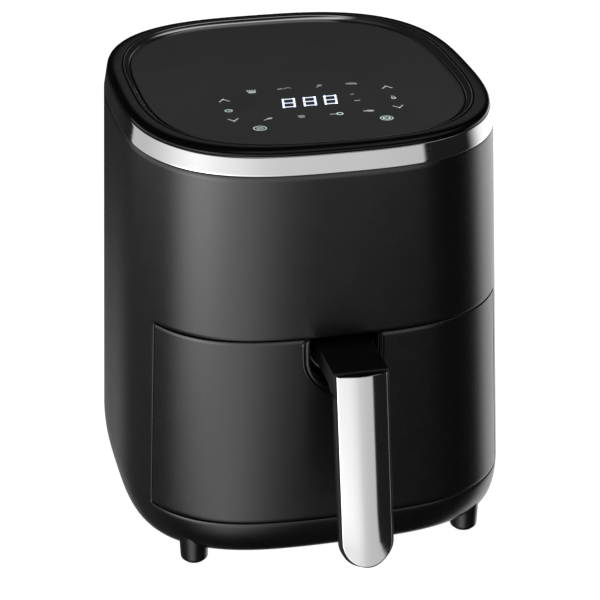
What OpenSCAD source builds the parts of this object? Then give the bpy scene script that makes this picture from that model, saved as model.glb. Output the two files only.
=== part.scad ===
// Countertop air fryer with a slide-out drawer.
// Millimetres. +Z is up, the drawer opens towards -Y, and the feet stand on Z = 0.

/* [Body] */
// Width of the body at the drawer's bottom edge
body_base_w = 265; // [250:1:290]
// Width of the body at the top edge of the housing
body_top_w = 247.6; // [235:0.5:262]
// Depth of the body from its front face to its rear face
body_d = 280.6; // [266:0.5:300]
// Height of the housing's top edge above the table
housing_top = 284; // [276:0.5:310]
// Wall thickness of the moulded housing
wall = 2.6; // [2:0.1:3.4]
// Squareness of the plan outline at the base, 2 is an ellipse
corner_base = 3.2; // [2.8:0.05:3.8]
// Squareness of the plan outline at the top
corner_top = 2.9; // [2.6:0.05:3.4]
// Height of the rounding along the housing's bottom edge
base_round_h = 31; // [22:1:33]
// How far that rounding draws in at each side
base_tuck_side = 8.5; // [4:0.5:14]
// How far that rounding draws in at the front and the rear
base_tuck_front = 15; // [8:0.5:20]

/* [Feet] */
// Height of the housing's underside above the table
ground_gap = 11.5; // [9:0.5:18]
// How far in from the body's widest side a foot's centre is
foot_inset_x = 38; // [35:1:44]
// How far in from the body's front or rear a foot's centre is
foot_inset_y = 34.3; // [30:0.5:40]
// Diameter of a foot at its top
foot_top_d = 20.5; // [18:0.5:24]
// Diameter of a foot at the table
foot_bottom_d = 18.5; // [14:0.5:20]
// Thickness of the rubber pad under each foot
foot_pad_t = 2; // [1.5:0.1:3]

/* [Top] */
// Height of the chrome band round the top of the body
band_h = 12.2; // [8:0.1:16]
// How far the chrome band leans in over its height, each side
band_lean = 2.2; // [0.5:0.1:4]
// Thickness of the chrome band
band_t = 1; // [0.8:0.1:1.5]
// Width of the gloss rim at each side
rim_side_w = 11.2; // [8:0.1:16]
// Width of the gloss rim at the front and the rear
rim_front_w = 9; // [6:0.1:14]
// Height of the gloss rim above the chrome band
rim_h = 4.8; // [3:0.1:8]
// Width of the bezel's sloping inner wall
bezel_slope_w = 4; // [2.5:0.1:6]
// Depth of the glass below the bezel's edge
glass_drop = 2.6; // [1.5:0.1:4]
// Thickness of the glass touch panel
glass_t = 2.2; // [1.8:0.1:4]

/* [Drawer] */
// Height of the drawer front's bottom edge above the table
drawer_bottom = 40.5; // [38:0.5:44]
// Height of the drawer front's top edge above the table
drawer_top = 172; // [160:0.5:180]
// Distance from the body's centre back to front where the drawer front starts
drawer_split_y = 92; // [88:1:96]
// Gap between the drawer front and the housing
seam = 0.8; // [0.5:0.1:1.2]
// Thickness of the pan's sheet metal
pan_t = 1.2; // [0.8:0.1:2]
// Corner radius of the pan
pan_corner_r = 40; // [25:1:50]
// Height of the crisper plate above the pan's floor
plate_lift_h = 14; // [8:1:24]
// Diameter of the holes in the crisper plate
plate_hole_d = 6; // [4:0.5:8]
// Distance between the holes in the crisper plate
plate_pitch = 15; // [12:0.5:24]

/* [Handle] */
// Width of the handle
handle_w = 35.6; // [30:0.5:40]
// How far the bend of the handle stands out from the drawer front
handle_reach = 51; // [44:0.5:60]
// Length of the grip from the bend to its lower end
grip_l = 130.5; // [110:0.5:136]
// Lean of the grip away from the drawer, in degrees
grip_lean = 9.2; // [4:0.2:12]
// Thickness of the grip without its chrome cover
grip_t = 11.3; // [8:0.1:14]
// How far behind the bend the chrome cover is seated on the grip
cover_seat = 3; // [2:0.1:4]
// Thickness of the chrome cover at its edge
cover_t = 1.3; // [1:0.1:2]
// Rise of the cover's crown above its edge
cover_crown = 4.2; // [2:0.1:5]
// Width of the grip's rim left showing round the cover
cover_inset = 1.2; // [0.8:0.1:2]
// Thickness of the bridge that carries the grip
bridge_t = 13; // [10:0.5:16]
// Distance of the bridge's top below the drawer front's top edge
bridge_drop = 3.5; // [2:0.5:8]
// Width of the handle recess inside its trim
recess_w = 43.6; // [40:0.5:50]
// Width of the gloss trim round the recess
recess_trim_w = 5.6; // [3:0.1:7]
// Height of the recess, measured down from the drawer front's top edge
recess_h = 37; // [32:1:48]
// Depth of the recess
recess_depth = 20; // [14:0.5:24]

/* [Heater and fan] */
// Height of the heating chamber above the drawer bay
chamber_h = 46; // [40:1:52]
// Thickness of the chamber's sheet metal
chamber_t = 1.2; // [0.8:0.1:2]
// Diameter of the heating element's outer turn
heater_d = 168; // [140:2:176]
// Diameter of the heating element's tube
heater_tube_d = 6.5; // [5.5:0.1:8]
// Clearance between the hot-air fan and the heating element's risers
fan_clear = 4; // [3:0.5:20]
// Height of the hot-air fan's blades
fan_blade_h = 12; // [8:0.5:14]
// Number of blades on the hot-air fan
fan_blades = 12; // [8:1:18]
// Diameter of the motor's cooling fan
cooling_fan_d = 90; // [60:2:100]
// Diameter of the motor shaft
shaft_d = 6; // [5:0.5:8]
// Width of the motor's steel lamination stack
stator_w = 62; // [54:1:70]
// Height of the motor's lamination stack
stator_h = 20; // [14:1:24]

/* [Rear] */
// Width of the exhaust grille
vent_w = 84; // [60:2:100]
// Height of the exhaust grille
vent_h = 46; // [30:2:52]
// How far the exhaust grille stands off the rear face
vent_proud = 4; // [2:0.5:12]
// Diameter of the passage for the power cord
cord_hole_d = 7.2; // [6:0.1:9]

/* [Hidden] */
$fn = 48;
ring_points = 64;
fit_gap = 0.3;
run_gap = 0.05;

// ---- levels and reaches that the pieces share ----
half_base_w = body_base_w / 2;
half_top_w = body_top_w / 2;
half_d = body_d / 2;
base_round_top = ground_gap + base_round_h;
band_top = housing_top + band_h;
rim_top = band_top + rim_h;
glass_top = rim_top - glass_drop;
glass_bottom = glass_top - glass_t;
band_top_w = half_top_w - band_lean;
band_top_d = half_d - band_lean * 0.8;
bezel_w = band_top_w - rim_side_w;
bezel_d = band_top_d - rim_front_w;
glass_w = bezel_w - bezel_slope_w - 1;
glass_d = bezel_d - bezel_slope_w - 1;

// the drawer bay and the pan follow from the housing's inside at the drawer opening
bay_wall = 1.8;
bay_front_y = drawer_split_y - 2;
bay_floor_z = drawer_bottom + 2.5;
bay_floor_top = bay_floor_z + bay_wall;
bay_outer = half_width_at(drawer_top, bay_front_y, wall + fit_gap);
bay_half = bay_outer - bay_wall;
bay_rear_gap = 18;
bay_corner_r = 50;
bay_rear_out = half_d - wall - bay_rear_gap;
bay_rear_in = bay_rear_out - bay_wall;
pan_flange_w = 5.7;
pan_half = bay_half - 1.5 - pan_flange_w;
pan_front = drawer_split_y + 1;
pan_rear = bay_rear_in - 4;
pan_half_d = (pan_front + pan_rear) / 2;
cook_y = (pan_rear - pan_front) / 2;
pan_bottom_z = bay_floor_top + 2;
pan_floor_z = pan_bottom_z + pan_t;
pan_top_z = drawer_top - 4;
pan_draft = 3.5;
runner_top = pan_top_z - 1.5 - fit_gap;
runner_rear = bay_rear_out - bay_corner_r;
plate_z = pan_floor_z + plate_lift_h;
plate_t = 1.6;

// heating chamber, measured from the top of the bay
chamber_half = min(bay_front_y + cook_y, pan_half) - 5;
chamber_top = drawer_top + chamber_h;
heater_z = drawer_top + 18;
heater_pitch = 2 * heater_tube_d + 1;
heater_tube_r = heater_tube_d / 2;
heater_bend_r = heater_tube_d + 1.5;
heater_gap = 10;
liner_flange = 2.4;
liner_corner_r = 38;
terminal_h = 10;
fan_r = heater_d / 2 - heater_pitch - heater_tube_r - fan_clear;
guard_z = drawer_top + 4;
fan_bottom = heater_z + heater_tube_r + 5.8;
fan_plate_z = fan_bottom + fan_blade_h;
shaft_r = shaft_d / 2;
cooling_fan_z = chamber_top + 4;
bracket_z = cooling_fan_z + 14;
stator_z = bracket_z + 10;
stator_top = stator_z + stator_h;
shaft_top = stator_top + 6.5;

// drawer front
front_rear_y = drawer_split_y + seam;
front_low = drawer_bottom + seam;
front_high = drawer_top - seam;
inner_panel_t = 2.5;
inner_panel_y = pan_front + fit_gap + inner_panel_t;
recess_back_y = half_d - recess_depth;
recess_plate_t = 2;
trim_proud = 0.8;

// handle
bridge_top = drawer_top - bridge_drop;
bend_y = half_d + handle_reach;
bridge_mid = bridge_top - bridge_t / 2;
cover_start = 4;
cover_half = handle_w / 2 - cover_inset;
cover_edge_r = 0.4;
// share of the cover's half width over which the crown turns at its middle
crown_turn = 0.4;
function crown_fall(u) = sqrt(u * u + crown_turn * crown_turn) - crown_turn;
function cover_rise(u) = cover_t + cover_crown * (1 - crown_fall(u) / crown_fall(1));
// each layer of the cover: distance in front of its seat, and how far its outline draws in
cover_layers = concat([[0, 0], [cover_t - cover_edge_r, 0]],
    [for (u = [0.98, 0.9, 0.76, 0.6, 0.42, 0.24, 0.06]) [cover_rise(u), cover_half * (1 - u)]]);
handle_out = max([for (l = cover_layers)
    bend_y - (cover_seat - l[0]) * cos(grip_lean) + (grip_l - cover_inset - l[1]) * sin(grip_lean)]);

// rear
gland_proud = 2;
gland_x = -body_base_w * 0.17;
gland_z = bay_floor_z + 18;
rear_out = half_d + max(vent_proud, gland_proud);
vent_z = drawer_top + 33;

// the body sits back so that the handle and the rear grille are equally far from the origin
body_y = (handle_out - rear_out) / 2;

// ---- plan outlines and lofts ----
function drop(z) = (housing_top - z) / (housing_top - drawer_bottom);
function tuck(z) = z >= base_round_top ? 0
    : 1 - sqrt(max(0, 1 - pow((base_round_top - z) / base_round_h, 2)));
function half_w(z) = half_top_w + (half_base_w - half_top_w) * drop(z) - base_tuck_side * tuck(z);
function half_depth(z) = half_d - base_tuck_front * tuck(z);
function squareness(z) = corner_top + (corner_base - corner_top) * drop(z);

// half width of the body at height z, at a distance y from its centre
function half_width_at(z, y, inset) = (half_w(z) - inset)
    * pow(1 - pow(y / (half_depth(z) - inset), squareness(z)), 1 / squareness(z));

// a superellipse with half sizes w and d
function plan(w, d, n) = [for (i = [0:ring_points - 1])
    let (a = 360 * i / ring_points, c = cos(a), s = sin(a),
        r = pow(pow(abs(c), n) + pow(abs(s), n), -1 / n)) [w * r * c, d * r * s]];

// a rectangle with half sizes w and d and round corners
function round_plan(w, d, r) = [for (q = [0:3]) for (i = [0:8])
    let (a = 90 * q + 90 * i / 8, sx = (q == 0 || q == 3) ? 1 : -1, sy = (q < 2) ? 1 : -1)
        [sx * (w - r) + r * cos(a), sy * (d - r) + r * sin(a)]];

function at_level(outline, z) = [for (p = outline) [p[0], p[1], z]];
function body_ring(z, inset) = at_level(plan(half_w(z) - inset, half_depth(z) - inset, squareness(z)), z);

// levels where the body's outline is drawn: along the bottom rounding, then up the side
function body_levels(low, high) = concat(
    [for (a = [90:-18:18]) if (base_round_top - base_round_h * sin(a) > low)
        base_round_top - base_round_h * sin(a)],
    [for (z = [base_round_top, (base_round_top + drawer_top) / 2, drawer_top]) if (z > low && z < high) z]);
function body_rings(low, high, inset) = [for (z = concat([low], body_levels(low, high), [high]))
    body_ring(z, inset)];

// solid between two outlines with the same number of points
module band(a, b) {
    n = len(a);
    polyhedron(points = concat(a, b), faces = concat(
        [[for (i = [0:n - 1]) i]],
        [[for (i = [n - 1:-1:0]) n + i]],
        [for (i = [0:n - 1]) [i, n + i, n + (i + 1) % n]],
        [for (i = [0:n - 1]) [i, n + (i + 1) % n, (i + 1) % n]]));
}

module loft(rings) {
    for (i = [0:len(rings) - 2])
        hull()
            band(rings[i], rings[i + 1]);
}

// the same, as one convex solid
module swell(rings) {
    hull()
        for (i = [0:len(rings) - 2])
            band(rings[i], rings[i + 1]);
}

module body_volume(low, high, inset) loft(body_rings(low, high, inset));

module on_body() translate([0, body_y, 0]) children();
module on_cook_axis() on_body() translate([0, cook_y, 0]) children();
module mirrored_x() {
    children();
    mirror([1, 0, 0]) children();
}
module at_corners(x, y) {
    for (sx = [-1, 1], sy = [-1, 1])
        translate([sx * x, sy * y, 0])
            children();
}

// box given by its lowest corner and highest corner
module block(low, high) translate(low) cube(high - low);

module tube(h, outer, inner) {
    difference() {
        cylinder(h = h, r = outer);
        translate([0, 0, -1])
            cylinder(h = h + 2, r = inner);
    }
}

module round_rect(w, d, r) {
    square([2 * w, 2 * (d - r)], center = true);
    square([2 * (w - r), 2 * d], center = true);
    for (sx = [-1, 1], sy = [-1, 1])
        translate([sx * (w - r), sy * (d - r)])
            circle(r = r);
}

// pan-head screw, head down at the origin, thread up
module screw(length, r, head_r, head_h) {
    difference() {
        translate([0, 0, -head_h])
            cylinder(h = head_h, r = head_r);
        translate([0, 0, -head_h - 1])
            cylinder(h = head_h * 0.5 + 1, r = head_r * 0.5, $fn = 6);
    }
    cylinder(h = length, r = r);
}

// ---- housing, base and feet ----
foot_x = half_base_w - foot_inset_x;
foot_y = half_d - foot_inset_y;
foot_top_z = ground_gap + 12.5;
foot_clear = 0.8;
foot_boss_top = ground_gap + 23;
foot_screw_r = 1.5;
foot_screw_seat = 6;
floor_half = 100;
plate_post_x = 78;
plate_post_y = 72;
post_top = bay_floor_z - 10;

module outer_housing() {
    color([0.06, 0.06, 0.065])
        on_body()
            difference() {
                body_volume(ground_gap, housing_top, 0);
                difference() {
                    body_volume(ground_gap + wall, housing_top + 1, wall);
                    at_corners(foot_x, foot_y)
                        cylinder(h = foot_boss_top, r = 6, $fn = 24);
                    block([-body_base_w, -body_d, drawer_bottom - wall],
                        [body_base_w, -bay_front_y, drawer_bottom]);
                    block([-body_base_w, -body_d, drawer_top], [body_base_w, -bay_front_y, drawer_top + wall]);
                }
                block([-body_base_w, -body_d, drawer_bottom], [body_base_w, -drawer_split_y, drawer_top]);
                linear_extrude(ground_gap + 2 * wall)
                    polygon(plan(floor_half, floor_half, 3));
                at_corners(foot_x, foot_y)
                    cylinder(h = foot_boss_top + 1, r = foot_screw_r + 0.2, $fn = 24);
                translate([0, half_d, vent_z])
                    cube([vent_w + 2 * fit_gap, 30, vent_h + 2 * fit_gap], center = true);
                translate([gland_x, half_d + 5, gland_z])
                    rotate([90, 0, 0])
                        cylinder(h = 20, r = gland_r + fit_gap, $fn = 32);
                for (x = [-3.5:1:3.5])
                    translate([x * notch_pitch, -half_depth(ground_gap), ground_gap])
                        cube([5, 14, 2 * 1.6], center = true);
            }
}

notch_pitch = 26;
gland_r = 9;

module base_plate() {
    z = ground_gap + wall;
    color([0.09, 0.09, 0.095])
        on_body()
            difference() {
                union() {
                    translate([0, 0, z])
                        linear_extrude(2)
                            difference() {
                                polygon(plan(floor_half + 6, floor_half + 6, 3));
                                for (side = [-1, 1], i = [-4:4])
                                    translate([side * 36, i * 11])
                                        square([44, 4], center = true);
                            }
                    at_corners(plate_post_x, plate_post_y)
                        translate([0, 0, z])
                            cylinder(h = post_top - z, r = 5);
                }
                at_corners(plate_post_x, plate_post_y)
                    translate([0, 0, z - 1])
                        cylinder(h = post_top, r = 1.7);
            }
}

module base_screws() {
    color([0.55, 0.55, 0.56])
        on_body()
            at_corners(plate_post_x, plate_post_y)
                translate([0, 0, ground_gap + wall])
                    screw(bay_floor_z - 2 - ground_gap - wall, 1.5, 3.4, 2);
}

// foot cut on top to the rounded underside of the housing
module foot(side, end) {
    r0 = foot_bottom_d / 2;
    r1 = foot_top_d / 2;
    edge = 2.4;
    color([0.07, 0.07, 0.075])
        on_body()
            difference() {
                translate([side * foot_x, end * foot_y, 0])
                    difference() {
                        rotate_extrude()
                            polygon(concat([[0, foot_clear]],
                                [for (a = [0:22.5:90]) [r0 - edge + edge * sin(a), foot_clear + edge - edge * cos(a)]],
                                [[r1, foot_top_z], [0, foot_top_z]]));
                        translate([0, 0, -1])
                            cylinder(h = foot_pad_t + 1 + 0.1, r = r0 - 2.2);
                        cylinder(h = foot_screw_seat, r = 3.8);
                        cylinder(h = foot_top_z + 1, r = foot_screw_r + 0.2);
                    }
                swell(body_rings(ground_gap, base_round_top, -fit_gap));
            }
}

module foot_front_left() foot(-1, -1);
module foot_front_right() foot(1, -1);
module foot_rear_left() foot(-1, 1);
module foot_rear_right() foot(1, 1);

module foot_pads() {
    color([0.12, 0.12, 0.12])
        on_body()
            at_corners(foot_x, foot_y)
                cylinder(h = foot_pad_t, r = foot_bottom_d / 2 - 2.4);
}

module foot_screws() {
    color([0.55, 0.55, 0.56])
        on_body()
            at_corners(foot_x, foot_y)
                translate([0, 0, foot_screw_seat])
                    screw(foot_boss_top - foot_screw_seat - 3, foot_screw_r, 3.3, 2.4);
}

// ---- top of the body: band, rim, bezel and glass ----
tray_gap = 0.3;
tray_wall = 2.4;
tray_floor_t = 2;
ledge_t = 2;
ledge_z = glass_bottom - 1.5 - ledge_t;
ledge_in = 7;
board_z = housing_top + tray_floor_t + 3;
board_t = 1.6;

// ring round the body between two outlines, from low to high, drawn in by a at the bottom and b at the top
function top_rings(low, high, a, b) = [
    at_level(plan(half_top_w - a, half_d - a, corner_top), low),
    at_level(plan(half_top_w - b, half_d - b * 0.8, corner_top), high)];
function bezel_plan(inset) = plan(bezel_w - inset, bezel_d - inset, corner_top);

module chrome_band() {
    color([0.85, 0.85, 0.86])
        on_body()
            difference() {
                swell(top_rings(housing_top, band_top, 0, band_lean));
                swell(top_rings(housing_top - 1, band_top + 1, band_t, band_lean + band_t));
            }
}

module top_tray() {
    color([0.1, 0.1, 0.1])
        on_body() {
            difference() {
                swell(top_rings(housing_top, band_top, band_t + tray_gap, band_lean + band_t + tray_gap));
                translate([0, 0, housing_top + tray_floor_t])
                    linear_extrude(ledge_z - housing_top - tray_floor_t)
                        polygon(plan(band_top_w - 5, band_top_d - 5, corner_top));
                translate([0, 0, ledge_z - 1])
                    linear_extrude(band_h)
                        polygon(bezel_plan(ledge_in));
                translate([0, 0, ledge_z + ledge_t])
                    linear_extrude(band_h)
                        polygon(bezel_plan(-tray_gap));
                translate([0, 0, housing_top - 1])
                    cylinder(h = tray_floor_t + 2, r = 14);
            }
            translate([0, 0, housing_top - 6])
                linear_extrude(6)
                    difference() {
                        polygon(plan(half_top_w - wall - tray_gap, half_d - wall - tray_gap, corner_top));
                        polygon(plan(half_top_w - wall - 2.5, half_d - wall - 2.5, corner_top));
                    }
            translate([0, board_y, housing_top + tray_floor_t])
                at_corners(board_w / 2 - 6, board_d / 2 - 6)
                    cylinder(h = board_z - housing_top - tray_floor_t, r = 3);
        }
}

module top_rim() {
    color([0.03, 0.03, 0.03])
        on_body()
            difference() {
                swell([for (a = [0, 25, 50, 75, 90])
                    at_level(plan(bezel_w + rim_side_w * cos(a), bezel_d + rim_front_w * cos(a), corner_top),
                        band_top + rim_h * sin(a))]);
                translate([0, 0, band_top - 1])
                    linear_extrude(rim_h + 2)
                        polygon(bezel_plan(-run_gap));
            }
}

module panel_bezel() {
    low = ledge_z + ledge_t;
    color([0.8, 0.8, 0.82])
        on_body()
            difference() {
                translate([0, 0, low])
                    linear_extrude(rim_top - low)
                        polygon(bezel_plan(0));
                swell([at_level(bezel_plan(bezel_slope_w + 0.7), glass_top),
                    at_level(bezel_plan(0.7), rim_top), at_level(bezel_plan(0.7), rim_top + 1)]);
                translate([0, 0, glass_bottom])
                    linear_extrude(glass_drop)
                        polygon(bezel_plan(bezel_slope_w + 0.7));
                translate([0, 0, low - 1])
                    linear_extrude(rim_h)
                        polygon(bezel_plan(ledge_in));
            }
}

module touch_panel() {
    color([0.02, 0.02, 0.03])
        on_body()
            translate([0, 0, glass_bottom])
                linear_extrude(glass_t)
                    polygon(plan(glass_w, glass_d, corner_top));
}

// ---- controls under the glass ----
board_w = 134;
board_d = 92;
board_y = -52;
digit_y = -45;
display_w = 48;
display_d = 24;

module control_board() {
    color([0.05, 0.3, 0.15])
        on_body()
            translate([0, board_y, board_z])
                linear_extrude(board_t)
                    square([board_w, board_d], center = true);
}

module display_module() {
    color([0.9, 0.9, 0.9])
        on_body()
            translate([0, digit_y, board_z + board_t])
                linear_extrude(glass_bottom - fit_gap - board_z - board_t)
                    square([display_w, display_d], center = true);
}

// one spring sleeve under each touch key
module touch_springs() {
    color([0.7, 0.7, 0.72])
        on_body()
            mirrored_x()
                for (p = [[11.5, -18], [33, -18], [55, -31], [55, -68], [41.4, -87], [33, -72], [11.5, -72]])
                    translate([p[0], p[1], board_z + board_t])
                        tube(glass_bottom - fit_gap - board_z - board_t, 3.2, 2.5);
}

// ---- drawer bay ----
module drawer_bay() {
    y0 = -bay_front_y + fit_gap;
    flange_t = 2;
    mid = (bay_rear_out + y0) / 2;
    color([0.13, 0.13, 0.14])
        on_body()
            difference() {
                union() {
                    translate([0, 0, bay_floor_z])
                        linear_extrude(drawer_top - bay_floor_z) {
                            translate([0, mid])
                                round_rect(bay_outer, bay_rear_out - mid, bay_corner_r);
                            translate([-bay_outer, y0])
                                square([2 * bay_outer, mid - y0]);
                        }
                    translate([0, y0 + flange_t, 0])
                        rotate([90, 0, 0])
                            linear_extrude(flange_t)
                                polygon(section_at(bay_front_y, drawer_bottom - wall, drawer_top + wall, wall + fit_gap));
                    at_corners(plate_post_x, plate_post_y)
                        translate([0, 0, post_top])
                            cylinder(h = bay_floor_z - post_top, r = 5);
                }
                translate([0, 0, bay_floor_top])
                    linear_extrude(drawer_top - bay_wall - bay_floor_top) {
                        translate([0, mid])
                            round_rect(bay_half, bay_rear_in - mid, bay_corner_r - bay_wall);
                        translate([-bay_half, y0 - 1])
                            square([2 * bay_half, mid - y0]);
                    }
                translate([0, cook_y, drawer_top - bay_wall - 1])
                    linear_extrude(bay_wall + 2)
                        round_rect(chamber_half - chamber_t, chamber_half - chamber_t,
                            liner_corner_r - chamber_t);
                at_corners(plate_post_x, plate_post_y)
                    translate([0, 0, post_top - 1])
                        cylinder(h = bay_floor_z - post_top, r = 1.55);
                translate([0, bay_rear_in - 1, switch_z])
                    rotate([-90, 0, 0])
                        cylinder(h = bay_wall + 2, r = 2.4);
            }
}

// outline of the body cut by the plane at distance y in front of its centre, between two heights
function section_at(y, low, high, inset) = let (
    levels = [for (i = [0:6]) low + (high - low) * i / 6],
    right = [for (z = levels) [half_width_at(z, y, inset), z]])
    concat(right, [for (i = [6:-1:0]) [-right[i][0], right[i][1]]]);

runner_gap = 1.6;
runner_h = 7;
runner_nose_r = 3;
runner_setback = 6;

module runner() {
    x0 = pan_half + runner_gap;
    y0 = -bay_front_y + runner_setback;
    color([0.16, 0.16, 0.17])
        on_body()
            difference() {
                block([x0, y0, runner_top - runner_h], [bay_half, runner_rear, runner_top]);
                translate([x0 - 1, y0, runner_top])
                    rotate([0, 90, 0])
                        cylinder(h = bay_half - x0 + 2, r = runner_nose_r);
            }
}
module runner_right() runner();
module runner_left() mirror([1, 0, 0]) runner();

switch_drop = 24;
switch_w = 20;
switch_deep = 10;
switch_h = 12;
plunger_r = 1.8;
plunger_root = 1;
switch_z = drawer_top - switch_drop;

module drawer_switch() {
    color([0.15, 0.15, 0.16])
        on_body() {
            block([-switch_w / 2, bay_rear_out, switch_z - switch_h / 2],
                [switch_w / 2, bay_rear_out + switch_deep, switch_z + switch_h / 2]);
            translate([0, bay_rear_out + plunger_root, switch_z])
                rotate([90, 0, 0])
                    cylinder(h = bay_rear_out + plunger_root - pan_rear - fit_gap, r = plunger_r);
        }
}

// ---- heating chamber ----
module chamber_liner() {
    color([0.72, 0.72, 0.72])
        on_cook_axis()
            difference() {
                union() {
                    translate([0, 0, drawer_top])
                        linear_extrude(chamber_h)
                            round_rect(chamber_half, chamber_half, liner_corner_r);
                    translate([0, 0, drawer_top])
                        linear_extrude(chamber_t)
                            round_rect(chamber_half + liner_flange, chamber_half + liner_flange,
                                liner_corner_r + liner_flange);
                }
                translate([0, 0, drawer_top - 1])
                    linear_extrude(chamber_h - chamber_t + 1)
                        round_rect(chamber_half - chamber_t, chamber_half - chamber_t,
                            liner_corner_r - chamber_t);
                translate([0, 0, chamber_top - chamber_t - 1])
                    cylinder(h = chamber_t + 2, r = shaft_r + 5);
                translate([probe_x, probe_y, chamber_top - chamber_t - 1])
                    cylinder(h = chamber_t + 2, r = probe_r + run_gap);
                for (i = [0, 1])
                    translate([terminal_at(i)[0], terminal_at(i)[1], chamber_top - chamber_t - 1])
                        cylinder(h = chamber_t + 2, r = heater_tube_r + run_gap);
                translate([0, chamber_half, duct_z])
                    cube([duct_w - 8, 10, duct_h - 10], center = true);
            }
}

// round tube along a path, where each point is [position, heading in plan, climb]
module bent_tube(path, r, sides) {
    last = len(path) - 1;
    polyhedron(points = [for (p = path, k = [0:sides - 1]) tube_point(p, r, 360 * k / sides)],
        faces = concat(
            [[for (k = [sides - 1:-1:0]) k]],
            [[for (k = [0:sides - 1]) last * sides + k]],
            [for (i = [0:last - 1], k = [0:sides - 1])
                [i * sides + k, i * sides + (k + 1) % sides, (i + 1) * sides + (k + 1) % sides]],
            [for (i = [0:last - 1], k = [0:sides - 1])
                [i * sides + k, (i + 1) * sides + (k + 1) % sides, (i + 1) * sides + k]]));
}
function tube_point(p, r, t) = p[0] + r * cos(t) * [sin(p[1]), -cos(p[1]), 0]
    + r * sin(t) * [-cos(p[1]) * sin(p[2]), -sin(p[1]) * sin(p[2]), cos(p[2])];

// the element is one tube: down a terminal, round the outer loop, through a U-bend,
// back round the inner loop and up to the other terminal
loop_steps = 40;
bend_step = 22.5;
function turn_r(i) = heater_d / 2 - i * heater_pitch;
function on_loop(r, a) = [r * cos(a), r * sin(a), heater_z];

// [position, climb] from the end of loop i up through the chamber's top
function heater_rise(i) = let (ahead = [cos(heater_gap), sin(heater_gap), 0],
        start = on_loop(turn_r(i), 90 + heater_gap))
    concat([for (a = [0:bend_step:90]) [start + heater_bend_r * (sin(a) * ahead + [0, 0, 1 - cos(a)]), a]],
        [[start + heater_bend_r * ahead + [0, 0, chamber_top + terminal_h - heater_z], 90]]);
function terminal_at(i) = heater_rise(i)[len(heater_rise(i)) - 1][0];

function heater_path() = let (
        down = heater_rise(0),
        up = heater_rise(1),
        sweep = 360 - 2 * heater_gap,
        bend_at = on_loop(turn_r(0) - heater_pitch / 2, 90 - heater_gap))
    concat(
        [for (k = [len(down) - 1:-1:1]) [down[k][0], 180 + heater_gap, -down[k][1]]],
        [for (k = [0:loop_steps]) let (a = 90 + heater_gap + sweep * k / loop_steps)
            [on_loop(turn_r(0), a), a + 90, 0]],
        [for (a = [bend_step:bend_step:180 - bend_step]) let (b = 90 - heater_gap + a)
            [bend_at + heater_pitch / 2 * [cos(b), sin(b), 0], b + 90, 0]],
        [for (k = [0:loop_steps]) let (a = 90 - heater_gap - sweep * k / loop_steps)
            [on_loop(turn_r(1), a), a - 90, 0]],
        [for (k = [1:len(up) - 1]) [up[k][0], heater_gap, up[k][1]]]);

module heating_element() {
    color([0.3, 0.29, 0.28])
        on_cook_axis()
            bent_tube(heater_path(), heater_tube_r, 12);
}

// three straps that hang the element and its guard from the chamber's top
strap_t = 1.2;
strap_out = chamber_half - chamber_t - 6;
strap_angles = [30, 150, 270];
tab_r = (turn_r(0) + turn_r(1)) / 2;

module heater_brackets() {
    arm_z = heater_z + heater_tube_r + 0.2;
    arm_in = turn_r(1) - 6;
    riser_in = fan_r + 3;
    color([0.66, 0.66, 0.67])
        on_cook_axis()
            for (a = strap_angles)
                rotate([0, 0, a])
                    translate([0, strap_t / 2, 0])
                        rotate([90, 0, 0])
                            linear_extrude(strap_t)
                                polygon([[arm_in, arm_z], [tab_r - 2, arm_z], [tab_r - 2, guard_z + guard_t],
                                    [tab_r + 2, guard_z + guard_t], [tab_r + 2, arm_z], [strap_out, arm_z],
                                    [strap_out, chamber_top - chamber_t], [riser_in + 8, chamber_top - chamber_t],
                                    [riser_in + 8, arm_z + 2], [arm_in, arm_z + 2]]);
}

guard_t = 1.2;

module heater_guard() {
    ring_w = 4;
    color([0.7, 0.7, 0.71])
        on_cook_axis()
            translate([0, 0, guard_z])
                linear_extrude(guard_t) {
                    for (r = [tab_r + 10, tab_r - 2, tab_r - 14, tab_r - 26, tab_r - 38, tab_r - 50])
                        difference() {
                            circle(r = r + ring_w / 2);
                            circle(r = r - ring_w / 2);
                        }
                    for (a = [0:60:300])
                        rotate([0, 0, a + 30])
                            translate([tab_r - 51, -2.5])
                                square([62, 5]);
                }
}

probe_r = 2.5;
probe_x = -chamber_half + 28;
probe_y = chamber_half - 28;

module temperature_sensor() {
    color([0.75, 0.72, 0.6])
        on_cook_axis()
            translate([probe_x, probe_y, 0]) {
                translate([0, 0, chamber_top - 22])
                    cylinder(h = 30, r = probe_r);
                translate([0, 0, chamber_top])
                    cylinder(h = 3, r = 5, $fn = 6);
            }
}

module thermal_cutout() {
    color([0.85, 0.82, 0.75])
        on_cook_axis()
            translate([62, 52, chamber_top]) {
                cylinder(h = 1.2, r = 9);
                cylinder(h = 8, r = 7);
                translate([-10, -2, 5])
                    cube([20, 4, 0.8]);
            }
}

duct_w = vent_w - 12;
duct_h = vent_h - 6;
duct_z = vent_z;

module air_duct() {
    y0 = cook_y + chamber_half + fit_gap;
    y1 = vent_front_y - fit_gap;
    color([0.2, 0.2, 0.21])
        on_body()
            difference() {
                translate([0, (y0 + y1) / 2, duct_z])
                    cube([duct_w, y1 - y0, duct_h], center = true);
                translate([0, (y0 + y1) / 2, duct_z])
                    cube([duct_w - 3, y1 - y0 + 2, duct_h - 3], center = true);
            }
}

vent_cup_depth = 7;
vent_front_y = half_d - wall - vent_cup_depth;

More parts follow.
